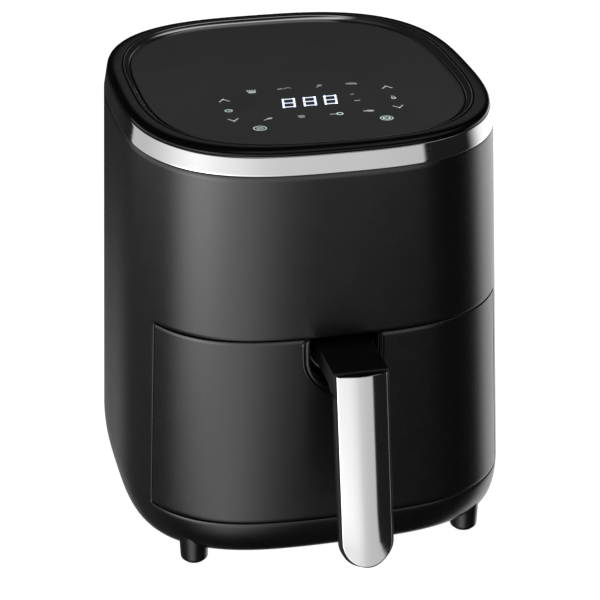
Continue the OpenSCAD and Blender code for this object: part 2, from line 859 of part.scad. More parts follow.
module rear_vent() {
    frame = 3;
    slat_pitch = 6.5;
    slats = floor((vent_h - 2 * frame) / slat_pitch);
    depth = half_d + vent_proud - vent_front_y;
    color([0.08, 0.08, 0.085])
        on_body()
            translate([0, vent_front_y, vent_z]) {
                translate([0, depth, 0])
                    rotate([90, 0, 0])
                        linear_extrude(depth)
                            difference() {
                                square([vent_w, vent_h], center = true);
                                square([vent_w - 2 * frame, vent_h - 2 * frame], center = true);
                            }
                for (i = [0:slats - 1])
                    translate([0, depth / 2 + 1, (i - (slats - 1) / 2) * slat_pitch])
                        rotate([-35, 0, 0])
                            cube([vent_w - 2 * frame + 1, depth * 0.62, 1.6], center = true);
            }
}

module cord_gland() {
    y0 = half_d - wall - 9;
    color([0.1, 0.1, 0.1])
        on_body()
            translate([gland_x, y0, gland_z])
                rotate([-90, 0, 0])
                    difference() {
                        union() {
                            cylinder(h = half_d + gland_proud - y0, r = gland_r);
                            cylinder(h = 4, r = gland_r + 2.5);
                        }
                        translate([0, 0, -1])
                            cylinder(h = half_d + gland_proud - y0 + 2, r = cord_hole_d / 2);
                    }
}

// ---- motor and fans, all on one shaft ----
rotor_r = 13.6;
air_gap = 0.5;
stud_x = stator_w / 2 - 7;
stator_front = 22;
leg_near = 27;
leg_far = 38;
bearing_r = 6;
plate_low_z = stator_z - 5;
plate_high_z = stator_top + 3;
plate_thick = 1.6;

module motor_bracket() {
    fan_room = 10;
    half = cooling_fan_d / 2 + fan_room;
    depth = 32;
    t = 1.6;
    color([0.68, 0.68, 0.7])
        on_cook_axis()
            difference() {
                union() {
                    block([-half, -depth / 2, bracket_z], [half, depth / 2, bracket_z + t]);
                    for (side = [-1, 1]) {
                        translate([side * (half - t / 2), 0, (chamber_top + bracket_z) / 2])
                            cube([t, depth, bracket_z - chamber_top], center = true);
                        translate([side * (half + 5), 0, chamber_top + t / 2])
                            cube([12, depth, t], center = true);
                    }
                }
                translate([0, 0, bracket_z - 1])
                    cylinder(h = t + 2, r = bearing_r + 3);
            }
}

module motor_stator() {
    color([0.45, 0.45, 0.47])
        on_cook_axis()
            translate([0, 0, stator_z])
                linear_extrude(stator_h)
                    difference() {
                        translate([-stator_w / 2, -stator_front])
                            square([stator_w, stator_front + leg_far]);
                        circle(r = rotor_r + air_gap);
                        translate([-coil_half - 1, rotor_r + 5])
                            square([2 * coil_half + 2, leg_near - rotor_r - 5]);
                        for (side = [-1, 1]) {
                            translate([side * stud_x, 0])
                                circle(r = 2.3);
                            translate([side * (coil_half + 1), leg_near - 4])
                                circle(r = 1.2);
                        }
                    }
}

coil_half = 18;

module motor_coil() {
    near = rotor_r + 5.4;
    far = leg_far + 7.5;
    color([0.72, 0.4, 0.2])
        on_cook_axis()
            difference() {
                union() {
                    block([-coil_half + 2, near, stator_z - 7.5], [coil_half - 2, far, stator_top + 7.5]);
                    for (side = [-1, 1])
                        translate([side * (coil_half - 1), (near + far) / 2, (stator_z + stator_top) / 2])
                            cube([2, far - near, stator_h + 16], center = true);
                }
                block([-coil_half - 1, leg_near - 0.2, stator_z - 0.2], [coil_half + 1, leg_far + 0.2, stator_top + 0.2]);
            }
}

module end_plate(z, hub_low, hub_high) {
    difference() {
        union() {
            translate([0, 0, z])
                linear_extrude(plate_thick)
                    round_rect(stud_x + 5, 12, 5);
            translate([0, 0, hub_low])
                cylinder(h = hub_high - hub_low, r = bearing_r + 2);
        }
        translate([0, 0, hub_low - 1])
            cylinder(h = hub_high - hub_low + 2, r = bearing_r);
    }
}

module motor_end_plates() {
    color([0.6, 0.6, 0.62])
        on_cook_axis() {
            end_plate(plate_low_z, plate_low_z - 3, plate_low_z + plate_thick + 1.4);
            end_plate(plate_high_z, plate_high_z - 1, plate_high_z + 4.5);
            for (side = [-1, 1])
                translate([side * stud_x, 0, 0]) {
                    translate([0, 0, bracket_z + plate_thick])
                        cylinder(h = shaft_top - bracket_z - plate_thick, r = 2.2);
                    translate([0, 0, bracket_z + plate_thick])
                        cylinder(h = plate_low_z - bracket_z - plate_thick, r = 3.5);
                    translate([0, 0, plate_low_z + plate_thick])
                        cylinder(h = stator_z - plate_low_z - plate_thick, r = 3.5);
                    translate([0, 0, stator_top])
                        cylinder(h = plate_high_z - stator_top, r = 3.5);
                }
        }
}

module motor_bearings() {
    color([0.7, 0.52, 0.28])
        on_cook_axis() {
            translate([0, 0, plate_low_z - 3])
                tube(plate_thick + 4.4, bearing_r, shaft_r + run_gap);
            translate([0, 0, plate_high_z - 1])
                tube(5.5, bearing_r, shaft_r + run_gap);
        }
}

module motor_rotor() {
    color([0.5, 0.5, 0.52])
        on_cook_axis()
            translate([0, 0, stator_z + 0.5])
                tube(stator_h - 1, rotor_r, shaft_r);
}

module motor_shaft() {
    color([0.75, 0.75, 0.76])
        on_cook_axis()
            translate([0, 0, fan_bottom + 2])
                cylinder(h = shaft_top - fan_bottom - 2, r = shaft_r);
}

// one curved blade from radius a to radius b, thickness t, seen from above
module blade_plan(a, b, t, sweep) {
    steps = 6;
    function blade_point(i, off) = let (f = i / steps, r = a + (b - a) * f, w = sweep * f * f)
        [r * cos(w) - off * sin(w), r * sin(w) + off * cos(w)];
    polygon(concat([for (i = [0:steps]) blade_point(i, t / 2)],
        [for (i = [steps:-1:0]) blade_point(i, -t / 2)]));
}

module hot_air_fan() {
    color([0.74, 0.74, 0.75])
        on_cook_axis()
            difference() {
                union() {
                    translate([0, 0, fan_plate_z])
                        cylinder(h = 1.2, r = fan_r);
                    translate([0, 0, fan_bottom])
                        linear_extrude(fan_blade_h)
                            for (i = [0:fan_blades - 1])
                                rotate([0, 0, 360 * i / fan_blades])
                                    blade_plan(fan_r * 0.42, fan_r - 1, 1.2, 24);
                    translate([0, 0, fan_bottom + 3])
                        cylinder(h = fan_blade_h, r = shaft_r + 5);
                }
                translate([0, 0, fan_bottom - 1])
                    cylinder(h = fan_blade_h + 6, r = shaft_r);
            }
}

module cooling_fan() {
    r = cooling_fan_d / 2;
    color([0.25, 0.25, 0.26])
        on_cook_axis()
            difference() {
                union() {
                    translate([0, 0, cooling_fan_z])
                        cylinder(h = 1.4, r = r);
                    translate([0, 0, cooling_fan_z + 1.4])
                        linear_extrude(7)
                            for (i = [0:10])
                                rotate([0, 0, 360 * i / 11])
                                    blade_plan(r * 0.4, r - 1, 1.4, -20);
                    translate([0, 0, cooling_fan_z])
                        cylinder(h = 9, r = shaft_r + 4);
                }
                translate([0, 0, cooling_fan_z - 1])
                    cylinder(h = 12, r = shaft_r);
            }
}

// ---- power board beside the motor ----
power_x = -chamber_half + 4;
power_w = 34;
power_d = 92;
board_stand = 8;
power_z = chamber_top + board_stand;

module power_board() {
    color([0.1, 0.32, 0.18])
        on_cook_axis() {
            translate([power_x, 0, power_z])
                linear_extrude(1.6)
                    square([power_w, power_d], center = true);
            for (y = [-1, 1])
                translate([power_x + 8, y * (power_d / 2 - 8), chamber_top])
                    cylinder(h = power_z - chamber_top, r = 3);
        }
}

module power_parts() {
    top = power_z + 1.6;
    color([0.2, 0.3, 0.55])
        on_cook_axis()
            translate([power_x, 0, top]) {
                translate([-12, -40, 0])
                    cube([20, 16, 15]);
                translate([0, -12, 0])
                    cylinder(h = 18, r = 6.5);
                translate([-13, 2, 0])
                    cube([25, 20, 17]);
                translate([-12, 32, 0])
                    cube([16, 8, 10]);
            }
}

// ---- drawer front ----
module drawer_front() {
    color([0.06, 0.06, 0.065])
        on_body()
            difference() {
                intersection() {
                    loft([for (z = front_levels(front_low, front_high)) body_ring(z, 0)]);
                    block([-body_base_w, -body_d, 0], [body_base_w, -front_rear_y, housing_top]);
                }
                loft([for (z = front_levels(front_low + wall, front_high - wall)) body_ring(z, wall)]);
                recess_cut(recess_w / 2 + recess_trim_w + 0.05, -body_d, -recess_back_y + recess_plate_t + 0.05);
            }
}
function front_levels(low, high) = [for (i = [0:5]) low + (high - low) * i / 5];

// U-shaped prism open at the top, from y0 at the front to y1
module recess_cut(r, y0, y1) {
    translate([0, y1, 0])
        rotate([90, 0, 0])
            linear_extrude(y1 - y0) {
                translate([0, recess_axis_z])
                    circle(r = r);
                translate([-r, recess_axis_z])
                    square([2 * r, drawer_top - recess_axis_z]);
            }
}
recess_axis_z = drawer_top - recess_h + recess_w / 2;

module recess_trim() {
    color([0.02, 0.02, 0.02])
        on_body()
            difference() {
                intersection() {
                    recess_cut(recess_w / 2 + recess_trim_w, -half_d - trim_proud, -recess_back_y + recess_plate_t);
                    block([-body_base_w, -body_d, 0], [body_base_w, 0, front_high]);
                }
                recess_cut(recess_w / 2, -body_d, -recess_back_y);
                handle_screw_holes(2.2);
            }
}

module drawer_inner_panel() {
    color([0.12, 0.12, 0.125])
        on_body()
            translate([0, -inner_panel_y + inner_panel_t, 0])
                rotate([90, 0, 0])
                    linear_extrude(inner_panel_t)
                        polygon(section_at(inner_panel_y, front_low + wall + fit_gap, front_high - wall - fit_gap,
                            wall + fit_gap));
}

handle_screw_x = 9;
module handle_screw_holes(r) {
    for (side = [-1, 1])
        translate([side * handle_screw_x, -recess_back_y - 16, bridge_mid])
            rotate([-90, 0, 0])
                cylinder(h = 24, r = r);
}

// steel box that ties the recess's back wall to the inner panel
module handle_bracket() {
    t = 1.5;
    y0 = -recess_back_y + recess_plate_t;
    y1 = -inner_panel_y;
    color([0.6, 0.6, 0.62])
        on_body()
            difference() {
                block([-18, y0, bridge_mid - 18], [18, y1, bridge_mid + 4]);
                block([-18 + t, y0 + t, bridge_mid - 19], [18 - t, y1 + 1, bridge_mid + 5]);
                handle_screw_holes(2.2);
            }
}

module handle_screws() {
    color([0.55, 0.55, 0.56])
        on_body()
            for (side = [-1, 1])
                translate([side * handle_screw_x, -recess_back_y + recess_plate_t + 1.5, bridge_mid])
                    rotate([90, 0, 0])
                        screw(14, 2, 3.6, 2.2);
}

// ---- handle ----
module in_grip() {
    translate([0, -bend_y, bridge_top])
        rotate([-grip_lean, 0, 0])
            children();
}

// the grip's face: straight sides and a round lower end, drawn in by inset
function grip_outline(inset, top) = let (r = handle_w / 2 - inset, c = -grip_l + handle_w / 2)
    concat([[-r, top], [-r, c]], [for (i = [1:15]) [-r * cos(180 * i / 16), c - r * sin(180 * i / 16)]],
        [[r, c], [r, top]]);
function grip_layer(y, inset, top) = [for (p = grip_outline(inset, top)) [p[0], y, p[1]]];
function grip_rings(layers, top) = [for (l = layers) grip_layer(l[0], l[1], top)];

// the crown also falls to the cover's upper end, over its first millimetres
module cover_shape() {
    swell([for (l = cover_layers)
        grip_layer(cover_seat - l[0], cover_inset + l[1], -cover_start - min(l[1], cover_t * 2) * 0.5)]);
}

module handle_cover() {
    color([0.88, 0.88, 0.9])
        on_body()
            in_grip()
                cover_shape();
}

module handle_body() {
    low = bridge_top - bridge_t;
    color([0.04, 0.04, 0.045])
        on_body()
            difference() {
                union() {
                    in_grip()
                        swell(grip_rings([[cover_seat + grip_t, 5], [cover_seat + grip_t * 0.88, 1.6],
                            [cover_seat + grip_t * 0.65, 0], [cover_seat + cover_edge_r, 0],
                            [cover_seat, cover_edge_r]], 0));
                    hull()
                        for (l = [[handle_w / 2, 0], [handle_w / 2 - 1.5, 1.5]])
                            translate([-l[0], 0, 0])
                                rotate([90, 0, 90])
                                    linear_extrude(2 * l[0])
                                        polygon(bridge_side(l[1] == 0 ? 1.5 : 0));
                }
                in_grip()
                    cover_shape();
                handle_screw_holes(2.05);
            }
}

// side view of the bridge and the bend, drawn in by inset
function bridge_side(inset) = let (low = bridge_top - bridge_t + inset, high = bridge_top - inset, r = 3,
    front = -bend_y + inset)
    concat([[front + cover_seat + grip_t, low], [-recess_back_y, low], [-recess_back_y, high]],
        [for (a = [90:22.5:180]) [front + r + r * cos(a), high - r + r * sin(a)]],
        [[front, bridge_top - cover_start - 1]]);

// ---- pan and crisper plate ----
module pan() {
    rim_d = pan_half_d;
    outer = [[pan_bottom_z, pan_draft + 7], [pan_bottom_z + 1.2, pan_draft + 3.5],
        [pan_bottom_z + 4, pan_draft + 1], [pan_bottom_z + 9, pan_draft], [pan_top_z, 0]];
    inner = [[pan_floor_z, pan_draft + 8], [pan_floor_z + 1.2, pan_draft + 4.7],
        [pan_floor_z + 4, pan_draft + 2.2], [pan_floor_z + 9, pan_draft + pan_t], [pan_top_z, pan_t],
        [pan_top_z + 1, pan_t]];
    color([0.1, 0.1, 0.1])
        on_cook_axis()
            difference() {
                union() {
                    loft([for (l = outer) at_level(round_plan(pan_half - l[1], rim_d - l[1], pan_corner_r), l[0])]);
                    mirrored_x()
                        block([pan_half - pan_t, -rim_d + 12, pan_top_z - 1.5], [pan_half + pan_flange_w, runner_rear - cook_y, pan_top_z]);
                }
                loft([for (l = inner) at_level(round_plan(pan_half - l[1], rim_d - l[1], pan_corner_r - 1), l[0])]);
            }
}

plate_half = pan_half - pan_draft - pan_t - 3;
plate_half_d = pan_half_d - pan_draft - pan_t - 3;

module crisper_plate() {
    n = floor((plate_half - 12) / plate_pitch);
    color([0.14, 0.14, 0.145])
        on_cook_axis() {
            translate([0, 0, plate_z])
                linear_extrude(plate_t)
                    difference() {
                        round_rect(plate_half, plate_half_d, pan_corner_r - 5);
                        for (i = [-n:n], j = [-n:n])
                            if (norm([i, j]) < n * 1.12)
                                translate([i, j] * plate_pitch)
                                    circle(r = plate_hole_d / 2, $fn = 24);
                    }
            at_corners(plate_half * 0.72, plate_half_d * 0.72)
                translate([0, 0, pan_floor_z + fit_gap])
                    cylinder(h = plate_z - pan_floor_z - fit_gap, r = 3);
        }
}

// silicone bumpers on the plate's edges
module plate_bumpers() {
    h = 7;
    z = plate_z + plate_t - h / 2;
    color([0.2, 0.2, 0.2])
        on_cook_axis()
            for (a = [0:90:270])
                rotate([0, 0, a])
                    translate([a % 180 == 0 ? plate_half : plate_half_d, -7, z])
                        cube([2.4, 14, h]);
}

outer_housing();
base_plate();
foot_front_left();
foot_front_right();
foot_rear_left();
foot_rear_right();
foot_pads();
foot_screws();
base_screws();
chrome_band();
top_tray();
top_rim();
panel_bezel();
touch_panel();
control_board();
display_module();
touch_springs();
drawer_bay();
runner_left();
runner_right();
chamber_liner();
heating_element();
heater_brackets();
heater_guard();
air_duct();
motor_bracket();
motor_stator();
motor_coil();
motor_end_plates();
motor_bearings();
motor_rotor();
motor_shaft();
hot_air_fan();
cooling_fan();
thermal_cutout();
temperature_sensor();
drawer_switch();
power_board();
power_parts();
rear_vent();
cord_gland();
drawer_front();
drawer_inner_panel();
recess_trim();
handle_bracket();
handle_body();
handle_cover();
handle_screws();
pan();
crisper_plate();
plate_bumpers();
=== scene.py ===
import math

import bmesh
import bpy
from mathutils import Matrix, Vector


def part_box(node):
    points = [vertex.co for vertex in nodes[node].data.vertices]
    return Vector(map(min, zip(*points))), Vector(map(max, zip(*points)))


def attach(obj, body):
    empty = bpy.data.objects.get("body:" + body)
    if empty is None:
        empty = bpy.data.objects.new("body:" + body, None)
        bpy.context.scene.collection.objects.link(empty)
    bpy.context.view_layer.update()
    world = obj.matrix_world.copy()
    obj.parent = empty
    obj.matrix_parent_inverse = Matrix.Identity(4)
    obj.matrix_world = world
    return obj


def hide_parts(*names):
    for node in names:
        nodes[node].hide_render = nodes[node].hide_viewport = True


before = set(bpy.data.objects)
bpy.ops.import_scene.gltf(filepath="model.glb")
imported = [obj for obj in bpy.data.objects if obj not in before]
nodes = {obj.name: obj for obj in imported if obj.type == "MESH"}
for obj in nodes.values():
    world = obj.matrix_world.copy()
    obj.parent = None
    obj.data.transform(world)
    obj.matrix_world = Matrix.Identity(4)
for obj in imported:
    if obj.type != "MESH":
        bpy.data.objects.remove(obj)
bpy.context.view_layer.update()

# ---- Housing ----
# The outer shell is one moulding of satin black plastic, open at the front for the drawer,
# at the back for the air outlet and underneath for the base plate. Its plan is a rounded
# square that widens a little downwards and tucks in above the feet.
shell_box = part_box("outer_housing")
axis_y = (shell_box[0].y + shell_box[1].y) / 2
half_d = (shell_box[1].y - shell_box[0].y) / 2
ground_gap = shell_box[0].z
housing_top = shell_box[1].z
drawer_bottom = 0.0388
drawer_top = 0.172
drawer_split_y = 0.092
top_half_w = 0.1238
base_half_w = 0.1325
top_square = 2.9
base_square = 3.2
round_h = 0.031
round_top = ground_gap + round_h
tuck_side = 0.0085
tuck_front = 0.015
wall_t = 0.0026
vent_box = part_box("rear_vent")
vent_gap = 0.0003
vent_half_w = vent_box[1].x + vent_gap
vent_low = vent_box[0].z - vent_gap
vent_high = vent_box[1].z + vent_gap
floor_half = 0.1
floor_square = 3.0


def drop(z):
    return (housing_top - z) / (housing_top - drawer_bottom)


def tuck(z):
    if z >= round_top:
        return 0.0
    return 1 - math.sqrt(max(0.0, 1 - ((round_top - z) / round_h) ** 2))


def body_plan(z):
    """Half width, half depth and squareness of the body at height z."""
    half_w = top_half_w + (base_half_w - top_half_w) * drop(z) - tuck_side * tuck(z)
    return half_w, half_d - tuck_front * tuck(z), top_square + (base_square - top_square) * drop(z)


def plan_point(angle, half_w, depth, square):
    c = math.cos(angle)
    s = math.sin(angle)
    r = (abs(c) ** square + abs(s) ** square) ** (-1 / square)
    return half_w * r * c, depth * r * s


def spread(start, end, steps):
    """Even steps from start to end, without the end."""
    return [start + (end - start) * i / steps for i in range(steps)]


def angle_at_y(y, half_w, depth, square):
    """Angle right of the middle where the outline is y in front of the axis."""
    return -math.atan2(y / depth, (1 - (y / depth) ** square) ** (1 / square))


def angle_at_x(x, half_w, depth, square):
    """Angle at the back, right of the middle, where the outline is x from the axis."""
    return math.atan2((1 - (x / half_w) ** square) ** (1 / square), x / half_w)


def grid_mesh(name, rows, closed, skip=None):
    """Quads between rows of equally many points; skip(row, column) leaves a quad out."""
    count = len(rows[0])
    points = [p for row in rows for p in row]
    faces = []
    for j in range(len(rows) - 1):
        for i in range(count if closed else count - 1):
            if skip and skip(j, i):
                continue
            k = (i + 1) % count
            faces.append((j * count + i, j * count + k, (j + 1) * count + k, (j + 1) * count + i))
    mesh = bpy.data.meshes.new(name)
    mesh.from_pydata(points, [], faces)
    shape = bmesh.new()
    shape.from_mesh(mesh)
    bmesh.ops.remove_doubles(shape, verts=shape.verts, dist=1e-6)
    loose = [v for v in shape.verts if not v.link_faces]
    bmesh.ops.delete(shape, geom=loose, context="VERTS")
    bmesh.ops.recalc_face_normals(shape, faces=shape.faces)
    shape.to_mesh(mesh)
    shape.free()
    piece = bpy.data.objects.new(name, mesh)
    bpy.context.scene.collection.objects.link(piece)
    return piece


def apply_modifiers(piece):
    depsgraph = bpy.context.evaluated_depsgraph_get()
    mesh = bpy.data.meshes.new_from_object(piece.evaluated_get(depsgraph))
    piece.modifiers.clear()
    piece.data = mesh
    mesh.polygons.foreach_set("use_smooth", [True] * len(mesh.polygons))
    mesh.update()


def thicken(piece, thickness):
    """Wall of even thickness inside the skin."""
    solid = piece.modifiers.new("wall", "SOLIDIFY")
    solid.thickness = thickness
    solid.offset = -1
    solid.use_even_offset = True


def round_edges(piece, radius, steps=2, sharpest=40):
    """Small radius on every edge that turns by more than sharpest degrees."""
    bevel = piece.modifiers.new("edge", "BEVEL")
    bevel.width = radius
    bevel.segments = steps
    bevel.limit_method = "ANGLE"
    bevel.angle_limit = math.radians(sharpest)
    weights = piece.modifiers.new("shade", "WEIGHTED_NORMAL")
    weights.keep_sharp = True
    apply_modifiers(piece)


def cut_away(piece, cutter):
    cut = piece.modifiers.new("cut", "BOOLEAN")
    cut.operation = "DIFFERENCE"
    cut.solver = "EXACT"
    cut.object = cutter
    apply_modifiers(piece)
    bpy.data.objects.remove(cutter)


def box_piece(name, low, high):
    mesh = bpy.data.meshes.new(name)
    shape = bmesh.new()
    bmesh.ops.create_cube(shape, size=1)
    size = Vector(high) - Vector(low)
    middle = (Vector(high) + Vector(low)) / 2
    stretch = Matrix.Translation(middle) @ Matrix.Diagonal((*size, 1))
    bmesh.ops.transform(shape, matrix=stretch, verts=shape.verts)
    shape.to_mesh(mesh)
    shape.free()
    piece = bpy.data.objects.new(name, mesh)
    bpy.context.scene.collection.objects.link(piece)
    return piece


def body_row(z, inset=0.0, front_split=drawer_split_y):
    """Outline at height z, with columns on the drawer's split line and the outlet's sides."""
    half_w, depth, square = body_plan(z)
    split = angle_at_y(front_split, half_w, depth, square)
    outlet = angle_at_x(vent_half_w, half_w, depth, square)
    angles = spread(split, outlet, side_columns)
    angles += spread(outlet, math.pi - outlet, outlet_columns)
    angles += spread(math.pi - outlet, math.pi - split, side_columns)
    angles += spread(math.pi - split, 2 * math.pi + split, front_columns)
    points = [plan_point(a, half_w - inset, depth - inset, square) for a in angles]
    return [(x, y + axis_y, z) for x, y in points]


side_columns = 72
outlet_columns = 32
front_columns = 120
round_steps = 14
level_gap = 0.0004
hair = 1e-6
levels = [round_top - round_h * math.cos(math.pi / 2 * i / round_steps) for i in range(round_steps)]
levels = [z for z in levels if z < drawer_bottom - level_gap]
levels += spread(drawer_bottom, drawer_top, 30) + spread(drawer_top, vent_low, 4)
levels += spread(vent_low, vent_high, 12) + spread(vent_high, housing_top, 14) + [housing_top]
opening_rows = {j for j, z in enumerate(levels) if drawer_bottom - hair < z < drawer_top - hair}
outlet_rows = {j for j, z in enumerate(levels) if vent_low - hair < z < vent_high - hair}
front_start = 2 * side_columns + outlet_columns
outlet_range = range(side_columns, side_columns + outlet_columns)

rows = [body_row(z) for z in levels]
underside = []
for share in (0.0, 0.5):
    edge = body_plan(ground_gap)
    mixed = [edge[k] * share + (floor_half, floor_half, floor_square)[k] * (1 - share) for k in range(3)]
    ring = []
    for x, y, z in rows[0]:
        angle = math.atan2((y - axis_y) / edge[1], x / edge[0])
        px, py = plan_point(angle, *mixed)
        ring.append((px, py + axis_y, ground_gap))
    underside.append(ring)
rows = underside + rows


def housing_gap(j, i):
    j -= len(underside)
    return (j in opening_rows and i >= front_start) or (j in outlet_rows and i in outlet_range)


housing_edge_r = 0.0005
housing = grid_mesh("housing", rows, True, housing_gap)
thicken(housing, wall_t)
round_edges(housing, housing_edge_r)

notch_count = 8
notch_pitch = 0.026
notch_w = 0.005
notch_h = 0.0016
notch_run = tuck_front + 0.007
for k in range(notch_count):
    x = (k - (notch_count - 1) / 2) * notch_pitch
    low = (x - notch_w / 2, axis_y - half_d, ground_gap - notch_h)
    high = (x + notch_w / 2, axis_y - half_d + notch_run, ground_gap + notch_h)
    cut_away(housing, box_piece("notch", low, high))


def surface(name, colour, roughness, metallic=0.0, ior=1.5):
    """A principled material with its even values on the shader's own sockets."""
    material = bpy.data.materials.new(name)
    material.use_nodes = True
    shader = material.node_tree.nodes["Principled BSDF"]
    shader.inputs["Base Color"].default_value = (*colour, 1)
    shader.inputs["Roughness"].default_value = roughness
    shader.inputs["Metallic"].default_value = metallic
    shader.inputs["IOR"].default_value = ior
    return material, material.node_tree, shader


def noise(tree, scale, detail=4.0, stretch=(1, 1, 1)):
    """Noise in the object's own metres, drawn out along an axis by stretch."""
    place = tree.nodes.new("ShaderNodeTexCoord")
    scaling = tree.nodes.new("ShaderNodeMapping")
    scaling.inputs["Scale"].default_value = stretch
    grain = tree.nodes.new("ShaderNodeTexNoise")
    grain.inputs["Scale"].default_value = scale
    grain.inputs["Detail"].default_value = detail
    tree.links.new(place.outputs["Object"], scaling.inputs["Vector"])
    tree.links.new(scaling.outputs["Vector"], grain.inputs["Vector"])
    return grain.outputs["Fac"]


def between(tree, factor, low, high):
    """Maps a 0.3 to 0.7 factor onto a range."""
    span = tree.nodes.new("ShaderNodeMapRange")
    span.inputs["From Min"].default_value = 0.3
    span.inputs["From Max"].default_value = 0.7
    span.inputs["To Min"].default_value = low
    span.inputs["To Max"].default_value = high
    tree.links.new(factor, span.inputs["Value"])
    return span.outputs["Result"]


def bump(tree, shader, factor, height):
    relief = tree.nodes.new("ShaderNodeBump")
    relief.inputs["Distance"].default_value = height
    relief.inputs["Strength"].default_value = 1.0
    tree.links.new(factor, relief.inputs["Height"])
    tree.links.new(relief.outputs["Normal"], shader.inputs["Normal"])


def tint(tree, shader, factor, dark, light):
    """Base colour that drifts between two shades."""
    mix = tree.nodes.new("ShaderNodeMix")
    mix.data_type = "RGBA"
    mix.inputs["A"].default_value = (*dark, 1)
    mix.inputs["B"].default_value = (*light, 1)
    tree.links.new(factor, mix.inputs["Factor"])
    tree.links.new(mix.outputs["Result"], shader.inputs["Base Color"])


def moulded_plastic(name, dark, light, roughness, grain_height, ior=1.5):
    """Injection-moulded plastic: fine spark-eroded grain and a faint drift in shade."""
    material, tree, shader = surface(name, light, roughness, ior=ior)
    tint(tree, shader, noise(tree, 30), dark, light)
    sheen = between(tree, noise(tree, 90), roughness - 0.01, roughness + 0.01)
    tree.links.new(sheen, shader.inputs["Roughness"])
    bump(tree, shader, noise(tree, 2600, 2), grain_height)
    return material


satin_dark = (0.0045, 0.0045, 0.005)
satin_light = (0.0065, 0.0065, 0.007)
satin_black = moulded_plastic("satin_black", satin_dark, satin_light, 0.27, 0.000004, ior=1.95)
housing.data.materials.append(satin_black)
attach(housing, "root")
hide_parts("outer_housing")

# ---- Base plate, posts and feet ----
# A slotted plate of plain dark plastic closes the underside, held by four screws. The feet are
# satin mouldings cut to the housing's rounded underside, each with a rubber pad and a screw.
plain_dark = moulded_plastic("plain_dark", (0.02, 0.02, 0.021), (0.028, 0.028, 0.029), 0.5, 0.00001)


def dress(names, material):
    for name in names:
        part = nodes[name]
        part.data.materials.clear()
        part.data.materials.append(material)


dress(["base_plate"], plain_dark)
dress(["foot_front_left", "foot_front_right", "foot_rear_left", "foot_rear_right"], satin_black)

pad_rubber, pad_tree, pad_shader = surface("pad_rubber", (0.02, 0.02, 0.02), 0.8)
pad_tree.links.new(between(pad_tree, noise(pad_tree, 200), 0.7, 0.9), pad_shader.inputs["Roughness"])
bump(pad_tree, pad_shader, noise(pad_tree, 1500, 3), 0.00003)
dress(["foot_pads", "plate_bumpers"], pad_rubber)


def sheet_steel(name, colour, roughness, streak, stretch=(1, 1, 1)):
    """Bare or plated metal with drawn streaks in its gloss."""
    material, tree, shader = surface(name, colour, roughness, metallic=1.0)
    streaks = noise(tree, streak, 3, stretch)
    tree.links.new(between(tree, streaks, roughness - 0.08, roughness + 0.1), shader.inputs["Roughness"])
    bump(tree, shader, noise(tree, 4 * streak, 2, stretch), 0.000004)
    return material


screw_steel = sheet_steel("screw_steel", (0.5, 0.5, 0.51), 0.3, 300)
dress(["foot_screws", "base_screws", "handle_screws"], screw_steel)

# ---- Drawer bay, runners and heating chamber ----
# The bay is a box of dark heat-proof plastic on the housing's posts. The zinc-coated liner
# above it holds the tube element on three straps, with a ring guard under it.
dress(["drawer_bay", "runner_left", "runner_right", "top_tray", "drawer_inner_panel"], plain_dark)
zinc = sheet_steel("zinc", (0.55, 0.56, 0.58), 0.34, 60, (1, 6, 1))
dress(["chamber_liner", "air_duct", "heater_guard", "heater_brackets"], zinc)
dress(["motor_bracket", "handle_bracket"], zinc)

scale_brown = (0.12, 0.1, 0.09)
element_steel, element_tree, element_shader = surface("element_steel", scale_brown, 0.45, metallic=1.0)
tint(element_tree, element_shader, noise(element_tree, 70), (0.09, 0.075, 0.07), (0.2, 0.17, 0.15))
scale_marks = between(element_tree, noise(element_tree, 150), 0.35, 0.55)
element_tree.links.new(scale_marks, element_shader.inputs["Roughness"])
dress(["heating_element"], element_steel)

# ---- Motor, fans and electronics ----
# A shaded-pole motor stands on a bracket over the chamber; its shaft drives the aluminium
# hot-air fan below and the plastic cooling fan above. The boards and sensors sit round it.
lamination_steel = sheet_steel("lamination_steel", (0.2, 0.2, 0.22), 0.45, 900, (0.02, 0.02, 1))
dress(["motor_stator", "motor_rotor"], lamination_steel)

copper_wire, copper_tree, copper_shader = surface("copper_wire", (0.42, 0.16, 0.06), 0.35, metallic=1.0)
bump(copper_tree, copper_shader, noise(copper_tree, 900, 2, (1, 1, 6)), 0.0002)
dress(["motor_coil"], copper_wire)

bearing_bronze = sheet_steel("bearing_bronze", (0.5, 0.33, 0.15), 0.4, 200)
dress(["motor_bearings", "temperature_sensor"], bearing_bronze)
dress(["motor_end_plates", "motor_shaft", "touch_springs", "thermal_cutout"], screw_steel)

spun_aluminium = sheet_steel("spun_aluminium", (0.62, 0.62, 0.63), 0.36, 120)
dress(["hot_air_fan"], spun_aluminium)
dress(["cooling_fan", "drawer_switch"], plain_dark)

solder_mask, mask_tree, mask_shader = surface("solder_mask", (0.01, 0.09, 0.035), 0.35)
tint(mask_tree, mask_shader, noise(mask_tree, 160), (0.008, 0.07, 0.028), (0.012, 0.11, 0.045))
dress(["control_board", "power_board"], solder_mask)

component_blue, blue_tree, blue_shader = surface("component_blue", (0.03, 0.07, 0.2), 0.4)
tint(blue_tree, blue_shader, noise(blue_tree, 60), (0.02, 0.05, 0.16), (0.04, 0.09, 0.24))
dress(["power_parts"], component_blue)

display_white, white_tree, white_shader = surface("display_white", (0.7, 0.72, 0.75), 0.5)
tint(white_tree, white_shader, noise(white_tree, 80), (0.66, 0.68, 0.71), (0.74, 0.76, 0.79))
dress(["display_module"], display_white)

# ---- Chrome band ----
# A bright plated ring round the body between the housing and the top, leaning in with it.
# It is pressed from thin strip, so very faint lines run along it.
band_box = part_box("chrome_band")
band_top = band_box[1].z
band_lean = 0.0022
depth_lean = 0.8
band_t = 0.001
ring_columns = 288


